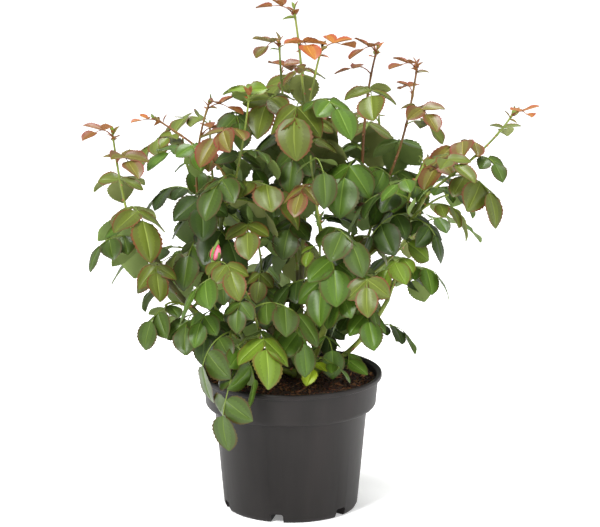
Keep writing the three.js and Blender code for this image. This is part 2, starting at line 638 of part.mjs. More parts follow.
function potSolid() {
  const { wall } = POT;
  let pot = lathe([
    [0, 0],
    [POT.footRadius, 0],
    [POT.bodyFoot, POT.footBevel],
    [POT.bodyTop, bodyTopZ],
    [POT.collarFoot, collarFootZ],
    [POT.collarTop, POT.height - POT.lipHeight],
    [POT.lipRadius, POT.height - POT.lipHeight + 1],
    [POT.lipRadius, POT.height - 2],
    [POT.lipRadius - 1.6, POT.height],
    [POT.collarTop - wall + 1, POT.height],
    [POT.collarFoot - wall, collarFootZ + wall],
    [POT.bodyTop - wall, bodyTopZ + wall],
    [POT.bodyFoot - wall, POT.floor],
    [0, POT.floor],
  ], POT.sides);
  const half = NOTCH.width / 2;
  const round = 3;
  const arch = new THREE.Shape();
  arch.moveTo(-half, -5);
  arch.lineTo(half, -5);
  arch.lineTo(half, NOTCH.height - round);
  arch.absarc(half - round, NOTCH.height - round, round, 0, Math.PI / 2);
  arch.absarc(round - half, NOTCH.height - round, round, Math.PI / 2, Math.PI);
  const depth = POT.bodyTop - NOTCH.inner;
  for (let i = 0; i < NOTCH.count; i++) {
    const notch = new THREE.ExtrudeGeometry(arch, { depth, bevelEnabled: false, curveSegments: 2 });
    const drain = new THREE.CylinderGeometry(DRAIN.radius, DRAIN.radius, 3 * POT.floor, 6);
    notch.rotateX(Math.PI / 2).rotateZ(Math.PI).translate(0, NOTCH.inner, 0);
    drain.rotateX(Math.PI / 2).translate(0, DRAIN.ring, 0);
    const turn = radians(NOTCH.turn - 90 + (i * 360) / NOTCH.count);
    pot = pot.subtract(toManifold(notch.rotateZ(turn))).subtract(toManifold(drain.rotateZ(turn)));
  }
  return pot;
}

function crownBall(radius) {
  return new THREE.SphereGeometry(radius, CROWN.sides, CROWN.rings).translate(...CROWN.at);
}

function soilSolid() {
  const { wall } = POT;
  const soil = new THREE.LatheGeometry([
    [0, POT.floor + GAP],
    [POT.bodyFoot - wall - GAP, POT.floor + GAP],
    [POT.bodyTop - wall - GAP, bodyTopZ + wall],
    [POT.collarFoot - wall - GAP, collarFootZ + wall],
    [POT.collarFoot - wall + 1, SOIL.edge],
    [78, mix(SOIL.edge, SOIL.crown, 0.5)],
    [46, mix(SOIL.edge, SOIL.crown, 0.8)],
    [0, SOIL.crown],
  ].map(([radius, height]) => new THREE.Vector2(radius, height)), SOIL.sides).rotateX(Math.PI / 2);
  const welded = weld(soil);
  const position = welded.attributes.position;
  const random = seeded(5);
  for (let i = 0; i < position.count; i++) {
    const isSurface = position.getZ(i) > SOIL.edge + 0.1;
    if (isSurface) position.setZ(i, position.getZ(i) + SOIL.clump * (random() - 0.5));
  }
  return toManifold(welded).subtract(toManifold(crownBall(CROWN.radius + GAP)));
}

// ---- the plant ----------------------------------------------------------------------------------

const plant = new THREE.Group();

addMesh('pot', toGeometry(potSolid()), standard(0x3a3736, 0.5));
addMesh('soil', toGeometry(soilSolid()), standard(0x33231b, 0.95));
addMesh('crown', weld(crownBall(CROWN.radius)), standard(0x5b4a35, 0.85));

LIMBS.forEach(buildLimb);

const shoots = SHOOTS.map(startShoot);
shoots.forEach(growShoot);
for (const shoot of shoots) {
  if (shoot.flower) shoot.solids.push(flower(shoot.flower, shoot.curve));
  const fused = shoot.solids.map(toManifold).reduce((all, solid) => all.add(solid));
  const green = new THREE.Color(0x4e6b38).lerp(new THREE.Color(0x8a5a35), shoot.youth * 0.5);
  addMesh(shoot.name, toGeometry(mainBody(fused)), standard(green, 0.55));
}

export default plant;
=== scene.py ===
"""Rose bush in its pot: the looks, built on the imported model.

Sizes are in millimetres in the model's own frame, and a mesh is scaled to metres as it is made.
The shoots grow by the model's seeded rule, from the model's tables. The same rule then grows
finer leaves between the model's own, wherever there is room for them.
"""
import math
from types import SimpleNamespace

import bpy
import numpy as np
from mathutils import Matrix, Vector
from mathutils.bvhtree import BVHTree


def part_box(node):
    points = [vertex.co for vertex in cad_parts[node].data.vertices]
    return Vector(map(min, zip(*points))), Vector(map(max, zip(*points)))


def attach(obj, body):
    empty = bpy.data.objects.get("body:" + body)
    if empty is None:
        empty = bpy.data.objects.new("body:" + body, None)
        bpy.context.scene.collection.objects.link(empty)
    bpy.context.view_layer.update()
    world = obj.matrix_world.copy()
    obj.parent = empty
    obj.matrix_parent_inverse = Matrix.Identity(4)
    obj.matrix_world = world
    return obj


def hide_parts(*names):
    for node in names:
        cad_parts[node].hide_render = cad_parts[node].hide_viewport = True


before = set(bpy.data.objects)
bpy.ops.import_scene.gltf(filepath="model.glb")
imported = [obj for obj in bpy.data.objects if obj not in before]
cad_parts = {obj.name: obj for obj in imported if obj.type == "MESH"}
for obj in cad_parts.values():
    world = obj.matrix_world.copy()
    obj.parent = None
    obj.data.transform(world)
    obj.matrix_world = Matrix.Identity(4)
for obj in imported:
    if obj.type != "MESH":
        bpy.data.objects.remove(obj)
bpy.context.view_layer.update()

MM = 0.001
GAP = 0.35
UP = Vector((0, 0, 1))

# ---- the pot, as the frame gives it --------------------------------------------------------------

pot_low, pot_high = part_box("pot")
POT_HEIGHT = pot_high.z / MM
LIP_RADIUS = pot_high.x / MM
POT = SimpleNamespace(
    lip_height=7, collar_top=108.2, collar_foot=105.4, collar_height=34, shoulder=9,
    body_top=94.4, body_foot=82.7, foot=80.4, foot_bevel=5, wall=2.2, floor=10, sides=144,
)
NOTCH = SimpleNamespace(count=6, turn=-102, width=16, height=11, inner=46, corner=3)
SOIL = SimpleNamespace(edge=163, crown=168, crumbs=5200)
CROWN = SimpleNamespace(at=Vector((15, -7, 166)), radius=19)

# ---- the plant's tables, as in the model ---------------------------------------------------------

LEAF = SimpleNamespace(
    reach=73, stalk=1.9, end=51, upper=45, lower=35, breadth=0.66, widest=0.46, thick=0.9, small=0.56,
)
PAIRS = [(0.33, 6, LEAF.lower), (0.73, 30, LEAF.upper)]  # place along the stalk, sweep, length
SMALL_PAIRS = [(0.62, 26, LEAF.upper)]
LIMB_STEPS = 6
CLEAR = 1.1
APART = 1.8
LUCK = 12
SWINGS = [0, 22, -22, 44, -44]
FEWEST = 3
TWIG = SimpleNamespace(chance=0.04, turn=35, length=46, leaves=2, radius=1.5, steps=5)
STEM = SimpleNamespace(foot=2.1, tip=1.2, last_leaf=0.97, steps=5)
BUD_LENGTH = {"bud": 22, "green_bud": 15, "calyx": 10}
OPEN_AIR = SimpleNamespace(radius=8, reach=110, rise=27)  # kept free in front of a flower


def limb(name, on, at, bend, tip, r):
    return SimpleNamespace(name=name, on=on, at=at, bend=bend, tip=tip, r=r)


def shoot(name, on, at, bend, tip, sides, first, size, youth, flower=None, fall=0):
    return SimpleNamespace(
        name=name, on=on, at=at, bend=bend, tip=tip, sides=sides, first=first, size=size,
        youth=youth, flower=flower, fall=fall,
    )


LIMBS = [
    limb("cane_left", "crown", 0, (-145, -35, 247), (-173, -28, 343), (4.4, 3.4)),
    limb("cane_mid_left", "crown", 0, (-43, 25, 246), (-77, 5, 316), (3.9, 3.0)),
    limb("cane_centre", "crown", 0, (10, 22, 238), (14, 14, 305), (4.0, 3.3)),
    limb("cane_thick", "crown", 0, (46, -27, 232), (50, -31, 284), (4.6, 4.0)),
    limb("cane_right", "crown", 0, (-7, -22, 247), (114, -3, 334), (4.2, 3.4)),
    limb("cane_front_left", "crown", 0, (-42, -58, 197), (-60, -72, 238), (3.6, 2.8)),
    limb("cane_right_low", "crown", 0, (82, -22, 198), (118, -28, 268), (3.6, 2.8)),
    limb("cane_back_left", "crown", 0, (-42, 68, 218), (-80, 95, 305), (3.9, 3.0)),
    limb("cane_back_right", "crown", 0, (64, 48, 232), (95, 90, 315), (3.9, 3.0)),
    limb("cane_back", "crown", 0, (15, 66, 212), (8, 105, 275), (3.7, 2.9)),
    limb("bough_centre", "cane_centre", 1, (18, 8, 380), (17, 4, 430), (3.1, 2.4)),
    limb("bough_mid_left", "cane_mid_left", 1, (-90, -5, 360), (-78, -15, 410), (2.9, 2.2)),
    limb("bough_right_mid", "cane_right", 0.86, (84, 14, 345), (86, 14, 400), (2.8, 2.2)),
    limb("bough_right", "cane_right", 1, (142, -8, 352), (160, -10, 388), (3.1, 2.5)),
]

# Limb and place along it, bend, tip, compass sides of the leaves from foot to tip, where the first
# leaf sits, leaf size and how young the tip is.
SHOOTS = [
    shoot("shoot_left", "cane_left", 0.93, (-206, -24, 400), (-215, -20, 475),
          (93, 295, 92, 305, 235), 0.42, 1.0, 0.8),
    shoot("shoot_low_left", "cane_left", 0.6, (-140, -60, 285), (-152, -58, 268),
          (270, 210, 60), 0.27, 0.74, 0.1),
    shoot("spray_left", "bough_mid_left", 1, (-110, -38, 462), (-163, -30, 494),
          (40, 290, 200), 0.35, 0.62, 0.9),
    shoot("shoot_upper_left", "cane_mid_left", 0.9, (-140, 6, 390), (-98, 10, 507),
          (205, 332, 275, 210, 310), 0.28, 0.99, 0.8),
    shoot("shoot_cut_back", "bough_mid_left", 0.62, (-70, 28, 430), (-71, 22, 492),
          (95, 285), 0.5, 0.8, 0.2),
    shoot("shoot_front_high", "bough_mid_left", 0.85, (-58, -66, 440), (-49, -52, 530),
          (120, 325, 125, 220, 90), 0.26, 0.98, 0.5),
    shoot("shoot_top_left", "bough_centre", 0.86, (-10, 38, 480), (-14, 40, 576),
          (45, 115, 290, 240), 0.22, 1.0, 0.8),
    shoot("shoot_top", "bough_centre", 1, (19, -4, 530), (4, 0, 622),
          (65, 240, 90, 280, 165), 0.36, 1.0, 0.9),
    shoot("shoot_top_right", "bough_centre", 0.93, (16, -34, 510), (38, -25, 580),
          (105, 310, 55), 0.4, 0.92, 0.7),
    shoot("shoot_right_tall", "bough_right_mid", 1, (86, 24, 500), (105, 20, 570),
          (220, 67, 280, 220), 0.25, 1.0, 0.8),
    shoot("shoot_red_stem", "bough_right_mid", 0.86, (142, 0, 460), (153, 0, 555),
          (5, 95, 290, 225), 0.4, 0.92, 0.85),
    shoot("shoot_right", "bough_right", 1, (235, -14, 440), (270, -10, 498),
          (175, 315, 185, 280), 0.12, 0.9, 0.8),
    shoot("shoot_bronze", "bough_right", 0.8, (132, -60, 395), (163, -60, 450),
          (205, 135, 315), 0.22, 0.95, 0.5),
    shoot("shoot_right_fall", "bough_right", 0.6, (170, -48, 402), (190, -50, 404),
          (315, 15, 180), 0.32, 0.68, 0.2),
    shoot("shoot_right_back", "bough_right", 0.45, (165, 40, 380), (195, 45, 425),
          (125, 235), 0.5, 0.9, 0.4),
    shoot("shoot_bud", "cane_front_left", 0.93, (-112, -85, 290), (-92, -82, 330),
          (205, 330), 0.4, 0.72, 0.1, flower="bud"),
    shoot("shoot_over_rim", "cane_front_left", 1, (-84, -106, 262), (-62, -122, 208),
          (190, 330, 262), 0.5, 0.92, 0, fall=28),
    shoot("shoot_front", "cane_front_left", 0.8, (-40, -110, 275), (-62, -112, 318),
          (235, 352, 235), 0.4, 0.95, 0),
    shoot("shoot_middle", "cane_thick", 1, (30, -82, 370), (24, -76, 458),
          (220, 290, 320, 105, 300), 0.2, 0.92, 0.1),
    shoot("shoot_spent", "cane_thick", 0.86, (38, -48, 320), (34, -48, 370),
          (215, 55), 0.45, 0.7, 0.1, flower="calyx"),
    shoot("shoot_green_bud", "cane_mid_left", 0.7, (-30, -40, 325), (-48, -42, 372),
          (295, 240), 0.4, 0.75, 0.1, flower="green_bud"),
    shoot("shoot_right_front", "cane_right_low", 0.8, (78, -80, 306), (88, -84, 316),
          (290, 185, 230), 0.4, 0.74, 0),
    shoot("shoot_right_low", "cane_right_low", 1, (130, -40, 316), (142, -44, 324),
          (60, 350, 225), 0.37, 0.74, 0),
    shoot("shoot_foot", "crown", 0, (38, -52, 206), (36, -66, 205),
          (250, 340), 0.7, 0.45, 0.1),
    shoot("shoot_low_middle", "cane_centre", 0.45, (-10, -60, 260), (-22, -72, 258),
          (310, 160), 0.6, 0.85, 0),
    shoot("shoot_back_left", "cane_back_left", 1, (-130, 110, 370), (-135, 115, 440),
          (120, 250), 0.4, 0.95, 0.3),
    shoot("shoot_back_left_low", "cane_back_left", 0.84, (-120, 115, 300), (-142, 115, 300),
          (135, 170), 0.45, 0.9, 0.1),
    shoot("shoot_back", "cane_back", 1, (0, 150, 340), (-10, 150, 430),
          (90, 260, 290), 0.3, 0.98, 0.2),
    shoot("shoot_back_low", "cane_back", 0.8, (-30, 150, 262), (-40, 170, 262),
          (230, 65), 0.5, 0.9, 0),
    shoot("shoot_back_right_low", "cane_back", 0.62, (55, 135, 255), (66, 160, 256),
          (25, 90), 0.5, 0.9, 0),
    shoot("shoot_back_right", "cane_back_right", 1, (115, 125, 380), (110, 130, 465),
          (100, 250, 150), 0.35, 0.95, 0.4),
    shoot("shoot_back_right_side", "cane_back_right", 0.8, (150, 105, 315), (170, 112, 335),
          (120, 30), 0.45, 0.9, 0.2),
    shoot("shoot_crest_back", "bough_centre", 0.6, (0, 70, 430), (20, 95, 515),
          (60, 230), 0.5, 0.95, 0.4),
    shoot("shoot_left_back", "bough_mid_left", 0.35, (-100, 60, 400), (-100, 78, 470),
          (45, 150), 0.45, 0.95, 0.4),
]

# ---- plain helpers -------------------------------------------------------------------------------


def mix(a, b, t):
    return a + (b - a) * t


def smooth(x, low, high):
    t = min(max((x - low) / (high - low), 0), 1)
    return t * t * (3 - 2 * t)


def seeded(seed):
    """The model's repeatable source of numbers from 0 to 1."""
    word = 0xFFFFFFFF
    state = seed

    def draw():
        nonlocal state
        state = (state + 0x6D2B79F5) & word
        mixed = ((state ^ (state >> 15)) * (state | 1)) & word
        mixed ^= (mixed + (mixed ^ (mixed >> 7)) * (mixed | 61)) & word
        return ((mixed ^ (mixed >> 14)) & word) / 4294967296

    return draw


def square_to(wanted, axis):
    """A unit vector square to the axis, as near to the wanted one as can be."""
    return (wanted - axis * wanted.dot(axis)).normalized()


def heading_of(compass):
    return Vector((math.cos(compass), math.sin(compass), 0))


class Curve:
    """A Bezier curve."""

    def __init__(self, *controls):
        self.controls = controls

    def _last_pair(self, t):
        points = self.controls
        while len(points) > 2:
            points = [a.lerp(b, t) for a, b in zip(points, points[1:])]
        return points

    def point(self, t):
        a, b = self._last_pair(t)
        return a.lerp(b, t)

    def tangent(self, t):
        a, b = self._last_pair(t)
        return (b - a).normalized()

    def length(self):
        points = [self.point(i / 12) for i in range(13)]
        return sum((b - a).length for a, b in zip(points, points[1:]))


# ---- meshes --------------------------------------------------------------------------------------


class Piece:
    """Gathers the parts of one joined mesh, with a material number for each face."""

    def __init__(self, name, slot, materials):
        self.name, self.slot, self.materials = name, slot, materials
        self.points, self.faces, self.kinds, self.count = [], [], [], 0
        self.nodes = set()

    def add(self, points, faces, kind=0):
        """kind is one material number for all the faces, or a list with one for each."""
        self.points.append(np.asarray(points, float))
        self.faces += [[corner + self.count for corner in face] for face in faces]
        self.kinds += [kind] * len(faces) if isinstance(kind, int) else list(kind)
        self.count += len(points)

    def make(self, sharp=60):
        mesh = bpy.data.meshes.new(self.name)
        mesh.from_pydata((np.concatenate(self.points) * MM).tolist(), [], self.faces)
        for material in self.materials:
            mesh.materials.append(material)
        mesh.polygons.foreach_set("material_index", self.kinds)
        mesh.polygons.foreach_set("use_smooth", [True] * len(self.faces))
        mesh.set_sharp_from_angle(angle=math.radians(sharp))
        piece = bpy.data.objects.new(self.name, mesh)
        bpy.context.scene.collection.objects.link(piece)
        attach(piece, "root")
        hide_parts(*sorted(self.nodes))
        return piece


def flipped(face):
    """The same face, turned to the other side, from the same first corner."""
    return face[:1] + face[:0:-1]


def ring_faces(first, rings, sides):
    """The quads between rings of points that follow one another from a first point."""
    faces = []
    for ring in range(rings - 1):
        for k in range(sides):
            a, b = first + ring * sides + k, first + ring * sides + (k + 1) % sides
            faces.append((a, b, b + sides, a + sides))
    return faces


def closed_faces(rings, sides):
    """The faces of a closed turned shape: a first point, rings of points and an end point."""
    last, end = 1 + (rings - 1) * sides, 1 + rings * sides
    faces = [(0, 1 + (k + 1) % sides, 1 + k) for k in range(sides)]
    faces += ring_faces(1, rings, sides)
    return faces + [(last + k, last + (k + 1) % sides, end) for k in range(sides)]


def tube_points(curve, radius_at, sides, steps, start=0.0, end=1.0):
    """Rings of points round a curve, and the closed faces that join them."""
    angles = np.arange(sides) * 2 * math.pi / sides
    side = Vector((0.31, 0.95, 0.07))
    rings = []
    for step in range(steps + 1):
        t = mix(start, end, step / steps)
        axis = curve.tangent(t)
        side = square_to(side, axis)
        third = axis.cross(side)
        radius = np.array([radius_at(t, angle) for angle in angles])[:, None]
        spokes = np.cos(angles)[:, None] * np.array(side) + np.sin(angles)[:, None] * np.array(third)
        rings.append(np.array(curve.point(t)) + radius * spokes)
    faces = ring_faces(0, steps + 1, sides)
    faces.append(tuple(reversed(range(sides))))
    faces.append(tuple(range(steps * sides, (steps + 1) * sides)))
    return np.concatenate(rings), faces


# ---- room: what a new leaf must stay clear of ----------------------------------------------------


def outline(points, faces, owner):
    """A closed shape for the room test, with its box."""
    points = np.asarray(points)
    tree = BVHTree.FromPolygons([Vector(p) for p in points], faces, epsilon=0)
    return SimpleNamespace(
        points=points, faces=faces, tree=tree, low=points.min(0), high=points.max(0), owner=owner
    )


def sleeve(curve, foot, tip, steps, owner):
    def grown(t, _):
        return (mix(foot, tip, t) + CLEAR) * math.sqrt(2)

    points, quads = tube_points(curve, grown, 4, steps)
    triangles = []
    for a, b, c, d in quads:
        triangles += [(a, b, c), (a, c, d)]
    return outline(points, triangles, owner)


def on_leaflet(leaflet, along, across, height):
    lift = height - leaflet.length * leaflet.hang * (0.16 * along * along + 0.05 * abs(across))
    spread = leaflet.normal.cross(leaflet.axis) * (across * leaflet.length * LEAF.breadth / 2)
    return leaflet.foot + leaflet.axis * (along * leaflet.length) + spread + leaflet.normal * lift


BLADE_FACES = [(0, 2, 4), (0, 4, 3), (0, 3, 5), (0, 5, 2), (1, 4, 2), (1, 3, 4), (1, 5, 3), (1, 2, 5)]


def blade(leaflet, extra):
    """An eight-faced blade round a leaflet, with room to spare all round."""
    grown = 1 + 2 * extra / (leaflet.length * LEAF.breadth)
    half = LEAF.thick / 2 + extra
    places = [
        (1, 0, 0), (0, 0, 0), (LEAF.widest, grown, 0), (LEAF.widest, -grown, 0),
        (LEAF.widest, 0, half), (LEAF.widest, 0, -half),
    ]
    return outline([on_leaflet(leaflet, *place) for place in places], BLADE_FACES, "leaf")


def crosses(first, second):
    return bool(first.tree.overlap(second.tree))


def meets_pot(piece):
    """Whether a corner or a point along an edge comes near the pot's wall or the soil."""
    tests = [piece.points]
    edges = np.array([(f[k], f[(k + 1) % 3]) for f in piece.faces for k in range(3)])
    start, end = piece.points[edges[:, 0]], piece.points[edges[:, 1]]
    tests += [mix(start, end, 1 / 3), mix(start, end, 2 / 3)]
    points = np.concatenate(tests)
    radius = np.hypot(points[:, 0], points[:, 1])
    over_soil = (radius < POT.collar_top - 8) & (points[:, 2] > SOIL.crown + 2)
    near = (points[:, 2] <= POT_HEIGHT + 3) & (radius < LIP_RADIUS + 4) & ~over_soil
    return bool(near.any())


class Room:
    """All that has grown so far."""

    def __init__(self):
        self.taken, self.lows, self.highs = [], np.zeros((0, 3)), np.zeros((0, 3))

    def take(self, *pieces):
        self.taken += pieces
        self.lows = np.concatenate([self.lows] + [[piece.low] for piece in pieces])
        self.highs = np.concatenate([self.highs] + [[piece.high] for piece in pieces])

    def is_free(self, piece, bearer):
        """Free of the pot and of all else, save what carries the bearer's name."""
        if meets_pot(piece):
            return False
        near = ((self.lows <= piece.high) & (self.highs >= piece.low)).all(1)
        for i in np.flatnonzero(near):
            other = self.taken[i]
            if other.owner != bearer and piece.tree.overlap(other.tree):
                return False
        return True


room = Room()

# ---- growth, by the model's rule -----------------------------------------------------------------

limbs = {}


def on_limb(bearer, at):
    """A place on a limb, on the straight run between two of the model's rings."""
    ring = min(math.floor(at * LIMB_STEPS), LIMB_STEPS - 1)
    start, end = bearer.curve.point(ring / LIMB_STEPS), bearer.curve.point((ring + 1) / LIMB_STEPS)
    place = start.lerp(end, at * LIMB_STEPS - ring)
    return place, (end - start).normalized(), mix(*bearer.r, at)


def growth_curve(row):
    """The curve of a limb or shoot: it leaves its bearer squarely, a running gap clear of it."""
    bend, tip = Vector(row.bend), Vector(row.tip)
    if row.on == "crown":
        out = (bend - CROWN.at).normalized()
        start = CROWN.at + out * (CROWN.radius + GAP)
    else:
        place, along, radius = on_limb(limbs[row.on], row.at)
        is_tip = row.at == 1
        out = along if is_tip else square_to(bend - place, along)
        start = place + out * ((0 if is_tip else radius) + GAP)
    heel = (tip - start).length * 0.15
    return Curve(start, start + out * heel, bend, tip)


def plan_leaf(node, swing, chance):
    """The leaflets of a compound leaf on its arching stalk: an end leaflet and opposite pairs."""
    size, youth = node.size, node.youth
    heading = heading_of(node.compass + math.radians(swing))
    left = UP.cross(heading)
    lift = math.radians(mix(36, 60, youth))
    droop = math.radians(mix(44, 18, youth) + node.fall + 24 * (chance[0] - 0.5))
    reach = LEAF.reach * size * mix(0.92, 1.08, chance[1])
    first = (heading * math.cos(lift) + node.tangent * math.sin(lift)).normalized()
    last = heading * math.cos(droop) - UP * math.sin(droop)
    bend = node.foot + first * (reach * 0.5)
    stalk = Curve(node.foot, bend, bend + last * (reach * 0.5))
    hang = mix(1, -0.3, youth)
    leaflets = []

    def add_leaflet(along, hand, sweep, roof, length):
        forward = stalk.tangent(along)
        above = forward.cross(left)
        flat = left * (hand * math.cos(sweep)) + forward * math.sin(sweep)
        leaflets.append(SimpleNamespace(
            along=along, hand=hand, foot=stalk.point(along), length=length, hang=hang, youth=youth,
            axis=flat * math.cos(roof) - above * math.sin(roof),
            normal=above * math.cos(roof) + flat * math.sin(roof),
        ))

    def roof_of(luck):
        return math.radians(mix(24, -22, youth) + 22 * (luck - 0.5))

    def size_of(luck):
        return size * mix(0.93, 1.07, luck)

    add_leaflet(1, 0, math.pi / 2, roof_of(chance[2]) * 0.6, LEAF.end * size_of(chance[3]))
    pairs = SMALL_PAIRS if size < LEAF.small else PAIRS
    for pair, (along, sweep, length) in enumerate(pairs):
        for second, hand in enumerate((-1, 1)):
            luck = chance[4 + 4 * pair + 2 * second:]
            lean = math.radians(sweep + 12 * (luck[0] - 0.5))
            add_leaflet(along, hand, lean, roof_of(luck[1]), length * size_of(luck[1]))
    half = LEAF.stalk / 2 * mix(0.6, 1, size)
    return SimpleNamespace(stalk=stalk, left=left, leaflets=leaflets, half=half, node=node)


def fit_leaf(plan, bearer):
    """The leaf with those of its leaflets that find room, or None where its stalk finds none."""
    stalk = sleeve(plan.stalk, plan.half, plan.half, 3, bearer)
    if not room.is_free(stalk, bearer):
        return None
    found, kept = [], []
    pieces = [stalk]
    for leaflet in plan.leaflets:
        own = blade(leaflet, APART)
        if any(along != leaflet.along and crosses(other, own) for along, other in kept):
            continue
        piece = blade(leaflet, CLEAR)
        if room.is_free(piece, "none"):
            found.append(leaflet)
            pieces.append(piece)
            kept.append((leaflet.along, own))
    plan.wanted, plan.leaflets, plan.pieces = len(plan.leaflets), found, pieces
    return plan


def grow_leaf(grown, node, swings=SWINGS, fewest=FEWEST):
    """Grows one compound leaf at the first turn where all its leaflets fit, or at the best turn."""
    chance = [grown.random() for _ in range(LUCK)]
    best = None
    for swing in swings:
        leaf = fit_leaf(plan_leaf(node, swing, chance), grown.name)
        if leaf and (best is None or len(leaf.leaflets) > len(best.leaflets)):
            best = leaf
        if best and len(best.leaflets) == best.wanted:
            break
    if best is None or len(best.leaflets) < fewest:
        return False
    room.take(*best.pieces)
    grown.leaves.append(best)
    return True


def leaf_node(curve, along, compass, size, youth, fall):
    return SimpleNamespace(
        foot=curve.point(along), tangent=curve.tangent(along), compass=compass, size=size,
        youth=youth, fall=fall, along=along,
    )


def grow_twig(grown, node, compass):
    """A side twig from a leaf's axil, with leaves of its own."""
    heading = heading_of(compass)
    length = TWIG.length * node.size
    bend = node.foot + heading * (length * 0.5) + node.tangent * (length * 0.2)
    curve = Curve(node.foot, bend, bend + heading * (length * 0.2) + UP * (length * 0.45))
    space = sleeve(curve, TWIG.radius, TWIG.radius, TWIG.steps, grown.name)
    if not room.is_free(space, grown.name):
        return
    room.take(space)
    grown.twigs.append(curve)
    for leaf in range(1, TWIG.leaves + 1):
        along = leaf / TWIG.leaves - 0.06
        turn = compass + math.radians(70 if leaf % 2 else -60)
        on_twig = leaf_node(curve, along, turn, node.size * 0.85, 0.2, node.fall)
        on_twig.along = 0  # it counts at the shoot's foot, not part way up
        grow_leaf(grown, on_twig)


def start_shoot(row, index):
    curve = growth_curve(row)
    girth = mix(0.8, 1, row.size)
    foot, tip = STEM.foot * girth, STEM.tip * girth
    room.take(sleeve(curve, foot, tip, STEM.steps, row.name))
    if row.flower:
        heart = curve.point(1) + curve.tangent(1) * (BUD_LENGTH[row.flower] / 2)
        ahead = heart + Vector((0, -OPEN_AIR.reach, OPEN_AIR.rise))
        sight = Curve(heart, heart.lerp(ahead, 0.5), ahead)
        room.take(sleeve(sight, OPEN_AIR.radius, OPEN_AIR.radius, 1, row.name))
    return SimpleNamespace(
        **vars(row), curve=curve, r=(foot, tip), random=seeded(index * 7919 + 17), leaves=[], twigs=[],
    )


def youth_on(grown, along):
    """How young a shoot is at a place along it. Its lower half is old."""
    return grown.youth * smooth(along, 0.5, 1)


def node_on(grown, along, compass):
    """Where a leaf stands on its shoot. The nearer the tip, the younger and smaller it is."""
    youth = youth_on(grown, along)
    size = grown.size * mix(1, 0.42, youth)
    return leaf_node(grown.curve, along, compass, size, youth, grown.fall)


def grow_shoot(grown):
    for i, side in enumerate(grown.sides):
        along = mix(grown.first, STEM.last_leaf, i / (len(grown.sides) - 1))
        node = node_on(grown, along, math.radians(side + 20 * (grown.random() - 0.5)))
        branches = grown.random() < TWIG.chance and along < 0.7
        grow_leaf(grown, node)
        if branches:
            grow_twig(grown, node, node.compass + math.radians(TWIG.turn))


for row in LIMBS:
    stem = SimpleNamespace(**vars(row), curve=growth_curve(row))
    limbs[row.name] = stem
    room.take(sleeve(stem.curve, *row.r, LIMB_STEPS, row.name))
shoots = [start_shoot(row, index) for index, row in enumerate(SHOOTS)]
for grown in shoots:
    grow_shoot(grown)

# ---- colours and materials -----------------------------------------------------------------------


def paint(red, green, blue):
    """A screen colour, each part from 0 to 255, as the linear colour that a shader takes."""
    parts = [c / 255 for c in (red, green, blue)]
    return [c / 12.92 if c < 0.04045 else ((c + 0.055) / 1.055) ** 2.4 for c in parts] + [1]


def plain(name, colour, roughness, specular=0.5):
    material = bpy.data.materials.new(name)
    material.use_nodes = True
    shader = material.node_tree.nodes["Principled BSDF"]
    shader.inputs["Base Color"].default_value = colour
    shader.inputs["Roughness"].default_value = roughness
    shader.inputs["Specular IOR Level"].default_value = specular
    return material


def mottled(name, stops, scale, roughness, bump, stretch=(1, 1, 1), specular=0.4):
    """A noise runs through the colours in stops, and a finer one roughens the surface."""
    material = plain(name, stops[0][1], roughness, specular)
    tree = material.node_tree
    shader = tree.nodes["Principled BSDF"]

    def noise(noise_scale):
        place = tree.nodes.new("ShaderNodeTexCoord")
        mapping = tree.nodes.new("ShaderNodeMapping")
        mapping.inputs["Scale"].default_value = stretch
        texture = tree.nodes.new("ShaderNodeTexNoise")
        texture.inputs["Scale"].default_value = noise_scale
        texture.inputs["Detail"].default_value = 6
        tree.links.new(place.outputs["Object"], mapping.inputs["Vector"])
        tree.links.new(mapping.outputs["Vector"], texture.inputs["Vector"])
        return texture.outputs["Fac"]

    ramp = tree.nodes.new("ShaderNodeValToRGB")
    while len(ramp.color_ramp.elements) < len(stops):
        ramp.color_ramp.elements.new(0.5)
    for element, (place, colour) in zip(ramp.color_ramp.elements, stops):
        element.position = place
        element.color = colour
    tree.links.new(noise(scale), ramp.inputs["Fac"])
    tree.links.new(ramp.outputs["Color"], shader.inputs["Base Color"])
    relief = tree.nodes.new("ShaderNodeBump")
    relief.inputs["Strength"].default_value = bump
    relief.inputs["Distance"].default_value = 0.001
    tree.links.new(noise(scale * 4), relief.inputs["Height"])
    tree.links.new(relief.outputs["Normal"], shader.inputs["Normal"])
    return material


# Outer blade, middle, rib, edge and underside of the leaves of each colour.
TINTS = {
    "dark": ((40, 57, 17), (46, 65, 19), (72, 92, 38), (50, 50, 22), (90, 108, 56)),
    "moss": ((55, 72, 22), (62, 83, 24), (90, 110, 46), (66, 58, 26), (100, 116, 60)),
    "green": ((62, 87, 22), (71, 99, 26), (100, 126, 48), (68, 70, 24), (110, 130, 68)),
    "fresh": ((88, 109, 28), (97, 121, 32), (124, 146, 58), (92, 84, 30), (124, 142, 72)),
    "olive": ((80, 88, 29), (88, 100, 32), (118, 130, 56), (98, 62, 32), (118, 126, 70)),
    "bronze": ((95, 69, 33), (98, 91, 34), (130, 124, 60), (106, 50, 34), (128, 114, 68)),
    "red": ((110, 60, 31), (116, 75, 34), (138, 104, 52), (114, 44, 30), (134, 88, 50)),
    "ember": ((142, 75, 34), (152, 97, 40), (174, 128, 62), (142, 56, 34), (162, 106, 60)),
    "lime": ((138, 160, 32), (148, 172, 38), (176, 196, 76), (128, 138, 32), (166, 184, 78)),
}
TOP, MIDDLE, RIB, EDGE, UNDER = range(5)


